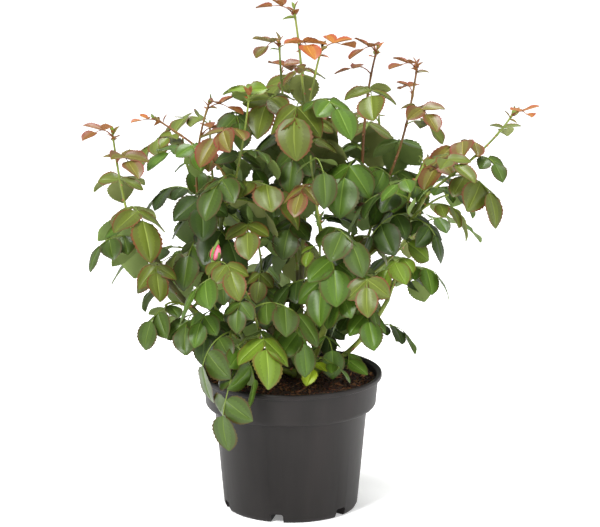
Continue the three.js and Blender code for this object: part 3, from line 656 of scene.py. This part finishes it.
def leaf_materials(tint):
    top, middle, rib, edge, under = (paint(*colour) for colour in TINTS[tint])
    return [
        plain(f"leaf_{tint}_top", top, 0.4, 0.3),
        plain(f"leaf_{tint}_middle", middle, 0.4, 0.3),
        plain(f"leaf_{tint}_rib", rib, 0.55, 0.2),
        plain(f"leaf_{tint}_edge", edge, 0.5, 0.24),
        plain(f"leaf_{tint}_under", under, 0.65, 0.15),
    ]


# ---- finer growth, between the model's leaves ----------------------------------------------------

SPIRAL = math.radians(137.5)  # turn from one leaf to the next, up a stem and round its tip
SPACING = 27  # mm between the places of the finer leaves on a stem
HELD_SPACING = 10  # mm that a finer leaf keeps from the foot of a leaf of the model
FILL_SIZE = (0.55, 0.9)
FILL_SWINGS = [0, 25, -25]
FEWEST_FILL = 2
LIMB_SEED = 9001
LIMB_LEAF_SIZE = 0.85


def fill_stem(grown, first, last, size_at, youth_at):
    """Leaves between the model's leaves, in a spiral up the stem, where there is room for them."""
    length = grown.curve.length()
    held = [leaf.node.along for leaf in grown.leaves]
    count = int(length * (last - first) / SPACING)
    compass = grown.random() * 2 * math.pi
    for i in range(count):
        compass += SPIRAL
        along = mix(first, last, (i + 0.5) / count)
        size = size_at(along) * mix(*FILL_SIZE, grown.random())
        if any(abs(along - other) * length < HELD_SPACING for other in held):
            continue
        node = leaf_node(grown.curve, along, compass, size, youth_at(along), grown.fall)
        grow_leaf(grown, node, FILL_SWINGS, FEWEST_FILL)


def fill_shoot(grown):
    def size_at(along):
        return grown.size * mix(1, 0.5, youth_on(grown, along))

    fill_stem(grown, 0.1, 0.93, size_at, lambda along: youth_on(grown, along))


for grown in shoots:
    fill_shoot(grown)
for index, stem in enumerate(limbs.values()):
    stem.random, stem.leaves, stem.twigs, stem.fall = seeded(LIMB_SEED + index), [], [], 0
    fill_stem(stem, 0.35 if stem.on == "crown" else 0.1, 0.95, lambda t: LIMB_LEAF_SIZE, lambda t: 0)

# ---- leaves --------------------------------------------------------------------------------------

BREADTH = 0.88
TOOTH_DEPTH = 0.085
COLUMNS = [-1, -0.82, -0.42, -0.04, 0, 0.04, 0.42, 0.82, 1]
UNDER_COLUMNS = [-0.82, -0.42, 0, 0.42, 0.82]
COLUMN_KINDS = [EDGE, TOP, MIDDLE, RIB, RIB, MIDDLE, TOP, EDGE]
VEIN_REACH = 0.25  # how much further the paler middle runs out along the side veins


def half_width(s):
    """Half the width of a leaflet at a place along it, as a share of its greatest."""
    return math.sin(math.pi * min(s, 1) ** 0.86) ** 0.6 * (1 - 0.22 * smooth(s, 0.78, 1))


def unit_leaflet(teeth):
    """A leaflet of length 1 and half width 1, as a closed thin shell with a toothed edge."""
    rows = 2 * teeth
    places = []  # along, across, height

    def place(row, column, lift):
        s = row / rows
        is_tooth = row % 2 == 1
        edge = s + 0.1 * math.sin(math.pi * s) + (0.5 / rows if is_tooth else 0)
        width = half_width(edge)
        if abs(column) == 1 and not is_tooth:
            width *= 1 - TOOTH_DEPTH
        if abs(column) == 0.42 and is_tooth:
            column *= 1 + VEIN_REACH
        quilt = 0.008 * math.sin(math.pi * abs(column)) ** 2 * math.sin(math.pi * s)
        quilt *= -1 if is_tooth else 1
        rib = -0.012 * max(0, 1 - abs(column) / 0.04)
        places.append((mix(s, edge, abs(column) ** 1.2), column * width, quilt + rib + lift))
        return len(places) - 1

    top = [[place(row, column, 0) for column in COLUMNS] for row in range(1, rows)]
    under = [[place(row, column, -0.014 - 0.01 * (column == 0)) for column in UNDER_COLUMNS]
             for row in range(1, rows)]
    for row, line in zip(under, top):
        row.insert(0, line[0])
        row.append(line[-1])
    places += [(0, 0, 0), (1, 0, 0)]
    base, tip = len(places) - 2, len(places) - 1
    faces, kinds = [], []

    def skin(lines, kinds_of, flip):
        strips = [([base] * len(lines[0]), lines[0])] + list(zip(lines, lines[1:]))
        strips.append((lines[-1], [tip] * len(lines[0])))
        for near, far in strips:
            for k, kind in enumerate(kinds_of):
                face = [near[k], near[k + 1], far[k + 1], far[k]]
                face = [corner for n, corner in enumerate(face) if corner not in face[:n]]
                faces.append(face[::-1] if flip else face)
                kinds.append(kind)

    skin(top, COLUMN_KINDS, False)
    skin(under, [UNDER] * 6, True)
    return SimpleNamespace(places=np.array(places), faces=faces, kinds=kinds)


FINE, SMALL = unit_leaflet(10), unit_leaflet(6)


def add_leaflet(piece, leaflet, random):
    """Lays a unit leaflet on its stalk: folded along its rib, arched, twisted and a little wavy."""
    unit = FINE if leaflet.length > 24 else SMALL
    along, across, height = unit.places.T
    length, youth = leaflet.length, leaflet.youth
    half = length * BREADTH / 2 * mix(1, 0.62, smooth(youth, 0.5, 1)) * mix(0.9, 1.08, random())
    fold = mix(0.1, 0.5, youth) + 0.16 * (random() - 0.5)
    twist = 0.9 * (random() - 0.5) * along
    sway = 0.14 * (random() - 0.5) * length * along**2
    wave = 0.05 * half * np.sin(2 * math.pi * (1.4 * along + random())) * across**2
    droop = length * leaflet.hang * (0.16 * along**2 + 0.05 * np.abs(across))
    curl = length * 0.5 * (random() + 0.2) * np.maximum(along - 0.7, 0) ** 2
    side = across * half
    lift = height * length + wave + fold * np.abs(side)
    side, lift = side * np.cos(twist) - lift * np.sin(twist), side * np.sin(twist) + lift * np.cos(twist)
    lift -= droop + curl
    roll = 0.5 * (random() - 0.5)
    axis, normal = np.array(leaflet.axis), np.array(leaflet.normal)
    normal = normal * math.cos(roll) + np.cross(axis, normal) * math.sin(roll)
    points = (
        np.array(leaflet.foot) + np.outer(along * length, axis)
        + np.outer(side + sway, np.cross(normal, axis)) + np.outer(lift, normal)
    )
    piece.add(points, unit.faces, unit.kinds)


def tint_of(grown, leaf, random):
    """The colour of a whole leaf, by its age and its place, with some luck."""
    youth, luck, height = leaf.node.youth, random(), leaf.node.foot.z
    if youth > 0.62:
        choice = ("ember", 0.2, "red", 0.8, "bronze")
    elif youth > 0.25:
        choice = ("bronze", 0.34, "olive", 0.76, "fresh", 0.82, "green")
    elif grown.name == "shoot_foot":
        return "lime" if leaf is grown.leaves[0] else "green"
    elif height > 400:
        choice = ("olive", 0.26, "bronze", 0.34, "fresh", 0.38, "green", 0.7, "moss")
    elif height > 300:
        choice = ("olive", 0.1, "fresh", 0.17, "green", 0.48, "moss", 0.66, "dark")
    else:
        choice = ("dark", 0.36, "green", 0.54, "fresh", 0.58, "moss")
    for name, share in zip(choice[::2], choice[1::2]):
        if luck < share:
            return name
    return choice[-1]


leaf_pieces = {
    tint: Piece(f"leaves_{tint}", "young_leaf" if tint in ("red", "ember") else "leaf", leaf_materials(tint))
    for tint in TINTS
}
stalks = Piece("leaf_stalks", "green_stem", [
    plain("stalk_green", paint(100, 118, 42), 0.5, 0.3),
    plain("stalk_red", paint(118, 66, 38), 0.5, 0.3),
])


def add_tube(piece, curve, radius_at, sides, steps, kind=0, start=0.0, end=1.0):
    points, faces = tube_points(curve, radius_at, sides, steps, start, end)
    piece.add(points, faces, kind)


def add_stipules(piece, leaf, kind):
    """The pair of narrow wings where a rose's leaf stalk joins the stem."""
    reach = 13 * leaf.node.size
    shape = [(0, 0.3), (0.35, 1.5), (0.75, 1.9), (1.15, 3.6), (0.9, 1.1), (1, 0.4)]
    for hand in (-1, 1):
        points = []
        for along, out in shape:
            t = along * reach / leaf.stalk.length()
            axis = leaf.stalk.tangent(t)
            above = axis.cross(leaf.left)
            points.append(leaf.stalk.point(t) + leaf.left * (hand * out) + above * 0.3)
            points.append(points[-1] - above * 0.35)
        faces = [(0, 2, 10), (2, 4, 8, 10), (4, 6, 8)]
        faces += [tuple(corner + 1 for corner in reversed(face)) for face in faces]
        rim = [0, 2, 4, 6, 8, 10]
        faces += [(a, a + 1, b + 1, b) for a, b in zip(rim, rim[1:] + rim[:1])]
        piece.add(points, faces if hand < 0 else [face[::-1] for face in faces], kind)


def dress_leaf(grown, leaf):
    tint = tint_of(grown, leaf, grown.random)
    piece = leaf_pieces[tint]
    piece.nodes.add(grown.name)
    stalks.nodes.add(grown.name)
    kind = 1 if tint in ("red", "ember", "bronze") else 0
    half = leaf.half
    add_tube(stalks, leaf.stalk, lambda t, _: half * mix(1.15, 0.6, t), 6, 7, kind, start=-0.03)
    add_stipules(stalks, leaf, kind)
    for leaflet in leaf.leaflets:
        add_leaflet(piece, leaflet, grown.random)


TUFT = SimpleNamespace(
    leaves=6, lean=(0.2, 1.3), length=(8, 17), tints=("red", "red", "ember", "bronze", "fresh"),
)


def add_tuft(grown):
    """The youngest leaves, still half folded, round the tip of a growing shoot."""
    tip, axis = grown.curve.point(1), grown.curve.tangent(1)
    turn = grown.random() * 6
    for k in range(TUFT.leaves):
        out = square_to(heading_of(turn + k * SPIRAL), axis)
        lean = mix(*TUFT.lean, k / (TUFT.leaves - 1))
        blade_axis = (axis * math.cos(lean) + out * math.sin(lean)).normalized()
        foot = tip - axis * (2.2 * k)
        young = SimpleNamespace(
            foot=foot, axis=blade_axis, normal=(axis * math.sin(lean) - out * math.cos(lean)),
            length=mix(*TUFT.length, grown.random()) * mix(0.8, 1.15, k / TUFT.leaves), hang=0.9,
            youth=0.85,
        )
        piece = leaf_pieces[TUFT.tints[int(grown.random() * len(TUFT.tints))]]
        piece.nodes.add(grown.name)
        add_leaflet(piece, young, grown.random)


for grown in shoots + list(limbs.values()):
    for leaf in grown.leaves:
        dress_leaf(grown, leaf)
for grown in shoots:
    if grown.youth >= 0.5:
        add_tuft(grown)

# ---- stems, thorns and crown ---------------------------------------------------------------------

green_bark = mottled("green_bark", [
    (0.3, paint(78, 88, 28)), (0.5, paint(106, 120, 40)), (0.68, paint(130, 140, 56)),
], 60, 0.5, 0.25, stretch=(1, 1, 0.25))
red_bark = mottled("red_bark", [
    (0.3, paint(84, 50, 28)), (0.5, paint(110, 72, 36)), (0.68, paint(124, 104, 46)),
], 60, 0.5, 0.25, stretch=(1, 1, 0.25))
old_bark = mottled("old_bark", [
    (0.3, paint(52, 44, 22)), (0.5, paint(78, 76, 32)), (0.7, paint(104, 102, 46)),
], 60, 0.65, 0.5, stretch=(1, 1, 0.25))
cut_wood = plain("cut_wood", paint(196, 190, 140), 0.8)
thorn_skin = plain("thorn_skin", paint(150, 96, 62), 0.45)

canes = Piece("canes", "bark", [old_bark, green_bark, cut_wood])
stems = Piece("young_stems", "green_stem", [green_bark, red_bark])
thorns = Piece("thorns", "bark", [thorn_skin])
GREEN_CANES = ("cane_thick", "cane_front_left", "cane_right", "cane_right_low")
RED_STEMS = ("shoot_red_stem", "spray_left", "shoot_upper_left", "shoot_right_tall")


def reach_back(curve, depth):
    """The place before a curve's start that lies this far back along it."""
    return -depth / (3 * (curve.controls[1] - curve.controls[0]).length)


def stem_radius(grown, relief):
    """The radius of a stem: it tapers, swells at each leaf and at its foot, and has low ridges."""
    length = grown.curve.length()
    swells = [leaf.node.along for leaf in grown.leaves]
    phase = grown.random() * 6

    def radius_at(t, angle):
        radius = mix(*grown.r, max(t, 0))
        ridges = math.sin(3 * angle + phase + 7 * t) + math.sin(5 * angle - 11 * t)
        ripple = math.sin(0.35 * t * length + phase) * math.sin(0.9 * t * length)
        radius *= 1 + relief * (ridges + 0.7 * ripple)
        radius += 0.55 * grown.r[0] * math.exp(-max(t, 0) * length / 4)
        return radius + sum(0.5 * math.exp(-(((t - at) * length / 1.6) ** 2)) for at in swells)

    return radius_at


THORN_RINGS = [(0, 0.2, 0.5, 0), (0.4, 0.12, 0.24, -0.05), (0.75, 0.05, 0.1, -0.16)]


def add_thorns(grown, size, spacing):
    """Hooked thorns, broad at the foot and pointing a little down the stem."""
    length = grown.curve.length()
    for i in range(int(length * 0.9 / spacing)):
        t = 0.06 + 0.9 * (i + grown.random()) * spacing / length
        if t > 0.95:
            break
        axis = grown.curve.tangent(t)
        out = square_to(heading_of(grown.random() * 2 * math.pi), axis)
        side = axis.cross(out)
        long = size * mix(0.7, 1.1, grown.random())
        foot = grown.curve.point(t) + out * (mix(*grown.r, t) * 0.8)
        points = []
        for rise, wide, tall, hook in THORN_RINGS:
            centre = foot + out * (rise * long) + axis * (hook * long)
            for k in range(6):
                angle = k * math.pi / 3
                spoke = side * (wide * math.cos(angle)) + axis * (tall * math.sin(angle))
                points.append(centre + spoke * long)
        points.append(foot + out * long - axis * (0.3 * long))
        faces = [(r * 6 + k, r * 6 + (k + 1) % 6, r * 6 + 6 + (k + 1) % 6, r * 6 + 6 + k)
                 for r in range(2) for k in range(6)]
        faces += [(12 + k, 12 + (k + 1) % 6, 18) for k in range(6)] + [(5, 4, 3, 2, 1, 0)]
        thorns.add(points, [face[::-1] for face in faces])


for stem in limbs.values():
    kind = 1 if stem.name in GREEN_CANES or stem.name.startswith("bough") else 0
    depth = 9 if stem.on == "crown" else stem.r[0]
    points, faces = tube_points(stem.curve, stem_radius(stem, 0.02), 16, 70, reach_back(stem.curve, depth))
    canes.add(points, faces, [kind] * (len(faces) - 1) + [2])
    canes.nodes.add(stem.name)
    thorns.nodes.add(stem.name)
    add_thorns(stem, 5.5, 13)
for grown in shoots:
    back = reach_back(grown.curve, 4)
    add_tube(stems, grown.curve, stem_radius(grown, 0.01), 10, 60, int(grown.name in RED_STEMS), back)
    for twig in grown.twigs:
        add_tube(stems, twig, lambda t, _: TWIG.radius * mix(1, 0.6, t), 8, 12)
    stems.nodes.add(grown.name)
    thorns.nodes.add(grown.name)
    add_thorns(grown, 3.6, 15)

crown = Piece("graft_crown", "bark", [old_bark])
crown.nodes.add("crown")


def lumpy_ball(centre, radius, sides, rows, lumps, random):
    """A closed ball with gentle lumps."""
    phases = [random() * 6 for _ in range(6)]
    points = [Vector((0, 0, 1))]
    for row in range(1, rows):
        tilt = math.pi * row / rows
        for k in range(sides):
            points.append(heading_of(2 * math.pi * k / sides) * math.sin(tilt) + UP * math.cos(tilt))
    points.append(Vector((0, 0, -1)))
    shaped = []
    for p in points:
        bulge = math.sin(4 * p.x + phases[0]) * math.sin(5 * p.y + phases[1]) + math.sin(6 * p.z + phases[2])
        shaped.append(centre + p * (radius * (1 + lumps * bulge)))
    return shaped, [flipped(face) for face in closed_faces(rows - 1, sides)]


crown.add(*lumpy_ball(CROWN.at, CROWN.radius * 0.9, 32, 20, 0.05, seeded(77)))

# ---- pot and soil --------------------------------------------------------------------------------

pot_plastic = mottled("pot_plastic", [
    (0.3, paint(25, 22, 21)), (0.5, paint(30, 27, 26)), (0.7, paint(36, 32, 31)),
], 30, 0.5, 0.12, stretch=(1, 1, 0.06), specular=0.22)
collar_foot_z = POT_HEIGHT - POT.collar_height
body_top_z = collar_foot_z - POT.shoulder


def arc(centre, radius, start, end, steps=5):
    """Points of an arc in a lathe's profile, with angles in degrees from straight out."""
    angles = [math.radians(mix(start, end, i / steps)) for i in range(steps + 1)]
    return [(centre[0] + radius * math.cos(a), centre[1] + radius * math.sin(a)) for a in angles]


def lathe(profile, sides):
    """A closed turned shape. The profile starts and ends on the axis."""
    points = [(0, 0, profile[0][1])]
    for radius, height in profile[1:-1]:
        for k in range(sides):
            angle = 2 * math.pi * k / sides
            points.append((radius * math.cos(angle), radius * math.sin(angle), height))
    points.append((0, 0, profile[-1][1]))
    return points, closed_faces(len(profile) - 2, sides)


def pot_profile():
    wall = POT.wall
    lip_z = POT_HEIGHT - POT.lip_height
    outer = [(0, 0), (POT.foot - 1, 0), (POT.foot, 0.6), (POT.body_foot, POT.foot_bevel)]
    outer += [(POT.body_top, body_top_z), (POT.body_top + 0.8, body_top_z + 1.2)]
    outer += arc((POT.collar_foot - 7, body_top_z + 6.5), 7, -60, 0)
    outer += [(POT.collar_foot + 0.1, collar_foot_z), (POT.collar_top, lip_z)]
    outer += arc((LIP_RADIUS - 1.5, lip_z + 2), 1.5, -60, 0)
    outer += arc((LIP_RADIUS - 2.2, POT_HEIGHT - 2.2), 2.2, 0, 120)
    inner = [(POT.collar_top - wall, POT_HEIGHT - 3), (POT.collar_foot - wall, collar_foot_z + wall)]
    inner += [(POT.body_top - wall, body_top_z + wall), (POT.body_foot - wall, POT.floor), (0, POT.floor)]
    return outer + inner


def notch_cutter(index):
    """A round-topped prism that cuts one drainage notch through the pot's foot."""
    half, corner = NOTCH.width / 2, NOTCH.corner
    section = [(-half, -5), (half, -5)]
    section += arc((half - corner, NOTCH.height - corner), corner, 0, 90)
    section += arc((corner - half, NOTCH.height - corner), corner, 90, 180)
    turn = math.radians(NOTCH.turn + index * 360 / NOTCH.count)
    out, across = heading_of(turn), heading_of(turn + math.pi / 2)
    count = len(section)
    points = [out * depth + across * x + UP * z
              for depth in (NOTCH.inner, POT.body_top) for x, z in section]
    faces = [tuple(reversed(range(count))), tuple(range(count, 2 * count))]
    faces += [(k, (k + 1) % count, count + (k + 1) % count, count + k) for k in range(count)]
    return points, faces


pot = Piece("grower_pot", "pot_plastic", [pot_plastic])
pot.nodes.add("pot")
pot.add(*lathe(pot_profile(), POT.sides))
pot_object = pot.make(35)
cutters = Piece("cutters", "pot_plastic", [pot_plastic])
for index in range(NOTCH.count):
    cutters.add(*notch_cutter(index))
cutter_object = cutters.make(35)
cut = pot_object.modifiers.new("notches", "BOOLEAN")
cut.operation, cut.solver, cut.object = "DIFFERENCE", "EXACT", cutter_object
bpy.context.view_layer.update()
shaped = bpy.data.meshes.new_from_object(pot_object.evaluated_get(bpy.context.evaluated_depsgraph_get()))
pot_object.modifiers.clear()
pot_object.data = shaped
pot_object.data.set_sharp_from_angle(angle=math.radians(35))
bpy.data.objects.remove(cutter_object)

peat = mottled("peat", [
    (0.25, paint(26, 17, 13)), (0.5, paint(48, 32, 24)), (0.75, paint(78, 50, 36)),
], 220, 0.95, 0.6)
peat_crumb = plain("peat_crumb", paint(46, 31, 23), 0.95, 0.2)
red_crumb = plain("red_crumb", paint(92, 52, 34), 0.95, 0.2)
fibre = plain("fibre", paint(120, 84, 56), 0.9, 0.2)
soil = Piece("peat_soil", "soil", [peat, peat_crumb, red_crumb, fibre])
soil.nodes.add("soil")
soil_random = seeded(31)


def soil_height(x, y):
    radius = math.hypot(x, y)
    dome = mix(SOIL.crown, SOIL.edge, min(radius / 102, 1) ** 2)
    swell = math.sin(x / 17 + 1) * math.sin(y / 13 + 2) + 0.6 * math.sin(x / 6.3) * math.sin(y / 7.1 + 1)
    return dome + 0.9 * swell


def add_soil_bed():
    sides, rings, edge = 120, 40, POT.collar_foot - POT.wall + 0.6
    points = [(0, 0, soil_height(0, 0))]
    for ring in range(1, rings + 1):
        for k in range(sides):
            angle, radius = 2 * math.pi * k / sides, edge * ring / rings
            x, y = radius * math.cos(angle), radius * math.sin(angle)
            points.append((x, y, soil_height(x, y) + 0.8 * (soil_random() - 0.5)))
    for k in range(sides):
        angle = 2 * math.pi * k / sides
        points.append((edge * math.cos(angle), edge * math.sin(angle), SOIL.edge - 12))
    faces = [(0, 1 + k, 1 + (k + 1) % sides) for k in range(sides)]
    faces += [flipped(face) for face in ring_faces(1, rings + 1, sides)]
    first = 1 + rings * sides
    faces.append(tuple(reversed(range(first, first + sides))))
    soil.add(points, faces, 0)


def add_crumb(x, y, size, kind, stretch=1.0):
    """An uneven lump of peat, or a bit of fibre where it is stretched."""
    turn = soil_random() * math.pi
    tilt = 0.5 * (soil_random() - 0.5)
    long = heading_of(turn) * math.cos(tilt) + UP * math.sin(tilt)
    wide = UP.cross(heading_of(turn))
    centre = Vector((x, y, soil_height(x, y) + 0.2 * size))
    points = []
    for a, b, c in ((1, 0, 0), (-1, 0, 0), (0, 1, 0), (0, -1, 0), (0, 0, 1), (0, 0, -1)):
        jitter = mix(0.6, 1.1, soil_random())
        points.append(centre + (long * (a * stretch) + wide * b + UP * (c * 0.8)) * (size * jitter))
    faces = [(0, 2, 4), (2, 1, 4), (1, 3, 4), (3, 0, 4), (2, 0, 5), (1, 2, 5), (3, 1, 5), (0, 3, 5)]
    soil.add(points, faces, kind)


add_soil_bed()
for _ in range(SOIL.crumbs):
    radius, angle = 101 * math.sqrt(soil_random()), 2 * math.pi * soil_random()
    luck = soil_random()
    kind = 1 if luck < 0.6 else 2 if luck < 0.9 else 3
    size = 0.6 + 1.6 * soil_random() ** 3
    add_crumb(radius * math.cos(angle), radius * math.sin(angle), size, kind, 4 if kind == 3 else 1.3)

# ---- bud, green bud and spent flower -------------------------------------------------------------

petal_pink = plain("petal_pink", paint(222, 66, 108), 0.5, 0.25)
petal_pale = plain("petal_pale", paint(240, 128, 150), 0.5, 0.25)
sepal_green = plain("sepal_green", paint(104, 128, 58), 0.55, 0.25)
stamen = plain("stamen", paint(206, 176, 84), 0.8, 0.2)
blossom = Piece("blossom", "petal", [petal_pink, petal_pale, sepal_green, stamen])
PINK, PALE, SEPAL, STAMEN = range(4)
PETAL_TURN = 1.256  # a fifth of a turn, for five petals or sepals


def tip_frame(grown):
    axis = (grown.curve.tangent(1) + UP).normalized()
    side = square_to(Vector((1, 0.2, 0)), axis)
    return grown.curve.point(1), axis, side, axis.cross(side)


def add_turned(grown, profile, kind, sides=20, spiral=0.0):
    """A closed turned shape on a stem's tip, which may lean into a spiral as petals do."""
    place, axis, side, third = tip_frame(grown)
    flat, faces = lathe(profile, sides)
    low, high = profile[0][1], profile[-1][1]
    points = []
    for x, y, z in flat:
        rise = (z - low) / (high - low)
        angle = math.atan2(y, x)
        radius = math.hypot(x, y) * (1 + spiral * math.cos(2 * angle - 5 * rise))
        points.append(place + axis * z + (side * math.cos(angle) + third * math.sin(angle)) * radius)
    blossom.add(points, faces, kind)


def add_petal(grown, turn, length, width, radius_at, kind, base=0.0, flare=0.0):
    """A curved petal or sepal, wrapped round the bud's axis as a closed thin shell."""
    place, axis, side, third = tip_frame(grown)
    rows, columns = 10, 6
    skins = []
    for inset in (0, 0.35):
        points = []
        for row in range(rows + 1):
            t = row / rows
            half = width / 2 * math.sin(math.pi * min(0.08 + 0.92 * t, 1) ** 0.8) ** 0.7
            radius = radius_at(t) - inset + flare * t * t
            for column in range(columns + 1):
                angle = turn + (2 * column / columns - 1) * half / max(radius_at(t), 1.5)
                spoke = side * math.cos(angle) + third * math.sin(angle)
                points.append(place + axis * (base + t * length) + spoke * radius)
        skins.append(points)
    count, wide = len(skins[0]), columns + 1
    faces = [(r * wide + c, r * wide + c + 1, r * wide + wide + c + 1, r * wide + wide + c)
             for r in range(rows) for c in range(columns)]
    faces += [tuple(corner + count for corner in reversed(face)) for face in faces]
    rim = [c for c in range(wide)] + [r * wide + columns for r in range(1, rows + 1)]
    rim += [rows * wide + c for c in range(columns - 1, -1, -1)] + [r * wide for r in range(rows - 1, 0, -1)]
    faces += [(a, a + count, b + count, b) for a, b in zip(rim, rim[1:] + rim[:1])]
    blossom.add(skins[0] + skins[1], faces, kind)


def add_bud(grown):
    length = BUD_LENGTH["bud"]
    shape = [(0, 0), (3.8, 2), (5.8, 6), (6.2, 10), (5.2, 15), (3.2, 19), (1.5, 21), (0, 21.6)]
    add_turned(grown, [(r * 0.94, z) for r, z in shape], PINK, spiral=0.08)

    def bud_radius(t):
        return np.interp(t * length, [z for _, z in shape], [r for r, _ in shape]) + 0.4

    for k in range(5):
        add_petal(grown, k * PETAL_TURN, length * 0.93, 8.5, bud_radius, PINK if k % 2 else PALE, base=0.6)
    hip = [(0, -7), (1.6, -6.4), (2.6, -4.5), (3.0, -2), (3.2, 0), (3.0, 1.2), (0, 1.6)]
    add_turned(grown, hip, SEPAL)
    for k in range(5):
        turn = 0.2 + k * PETAL_TURN
        add_petal(grown, turn, length * mix(0.8, 1.2, k % 2), 3.6,
                  lambda t: bud_radius(min(t * 1.2, 1)) * 1.04 + 0.4, SEPAL, flare=2 + 2 * (k % 3))


def add_green_bud(grown):
    shape = [(0, -5), (1.4, -4.6), (2.3, -3), (2.4, -1), (2.1, 0), (3.4, 3), (3.6, 6), (2.4, 10), (0, 14.5)]
    add_turned(grown, shape, SEPAL)
    for k in range(5):
        add_petal(grown, k * PETAL_TURN, 17, 4.0,
                  lambda t: np.interp(t, [0, 0.3, 0.6, 1], [2.4, 3.8, 3.2, 0.9]), SEPAL, flare=0.6)


def add_calyx(grown):
    cup = [(0, -6), (1.5, -5.5), (2.8, -3.5), (3.1, -1.5), (2.7, 0.4), (0, 0.8)]
    add_turned(grown, cup, SEPAL)
    add_turned(grown, [(0, 0.4), (2.2, 0.8), (2.5, 2.2), (1.4, 3.6), (0, 4)], STAMEN, spiral=0.1)
    for k in range(5):
        add_petal(grown, 0.4 + k * PETAL_TURN, 13, 3.8,
                  lambda t: mix(2.6, 3.4, t), SEPAL, flare=5 + 2 * (k % 2))


FLOWER_MAKERS = {"bud": add_bud, "green_bud": add_green_bud, "calyx": add_calyx}
for grown in shoots:
    if grown.flower:
        FLOWER_MAKERS[grown.flower](grown)
        blossom.nodes.add(grown.name)

for piece in [canes, stems, thorns, crown, soil, blossom, stalks] + list(leaf_pieces.values()):
    if piece.count:
        piece.make()

# ---- stage, light and camera, in metres ----------------------------------------------------------

CAMERA = SimpleNamespace(place=(0.01138, -4.0, 1.288), pitch=13.78, lens=201.9)
SKY_STRENGTH = 0.68
FLOOR_GLOW = 0.24  # keeps the floor as white as the sky behind it
SOFTBOXES = [  # name, place, aim, diameter, power
    ("key", (-1.6, -2.4, 2.8), (0, 0, 0.35), 0.9, 140),
    ("fill", (2.4, -2.0, 1.6), (0, 0, 0.3), 1.8, 36),
    ("top", (0.3, 0.4, 3.0), (0, 0, 0.3), 1.0, 80),
]


def add_floor():
    mesh = bpy.data.meshes.new("floor")
    half = 14
    corners = [(-half, -half, 0), (half, -half, 0), (half, half, 0), (-half, half, 0)]
    mesh.from_pydata(corners, [], [(0, 1, 2, 3)])
    white = plain("floor_white", paint(252, 252, 252), 0.9, 0.1)
    shader = white.node_tree.nodes["Principled BSDF"]
    shader.inputs["Emission Color"].default_value = (1, 1, 1, 1)
    shader.inputs["Emission Strength"].default_value = FLOOR_GLOW
    mesh.materials.append(white)
    floor = bpy.data.objects.new("floor", mesh)
    bpy.context.scene.collection.objects.link(floor)


def add_softbox(name, place, aim, size, power):
    data = bpy.data.lights.new(name, "AREA")
    data.shape = "DISK"
    data.size = size
    data.energy = power
    lamp = bpy.data.objects.new(name, data)
    lamp.location = place
    lamp.rotation_euler = (Vector(aim) - Vector(place)).to_track_quat("-Z", "Y").to_euler()
    bpy.context.scene.collection.objects.link(lamp)


def add_sky():
    world = bpy.data.worlds.new("studio")
    world.use_nodes = True
    background = world.node_tree.nodes["Background"]
    background.inputs["Color"].default_value = (1, 1, 1, 1)
    background.inputs["Strength"].default_value = SKY_STRENGTH
    bpy.context.scene.world = world


def add_camera():
    data = bpy.data.cameras.new("camera")
    data.lens = CAMERA.lens
    data.clip_end = 100
    camera = bpy.data.objects.new("camera", data)
    camera.location = CAMERA.place
    camera.rotation_euler = (math.radians(90 - CAMERA.pitch), 0, 0)
    bpy.context.scene.collection.objects.link(camera)
    bpy.context.scene.camera = camera


add_floor()
add_sky()
for softbox in SOFTBOXES:
    add_softbox(*softbox)
add_camera()
bpy.context.scene.view_settings.view_transform = "Standard"
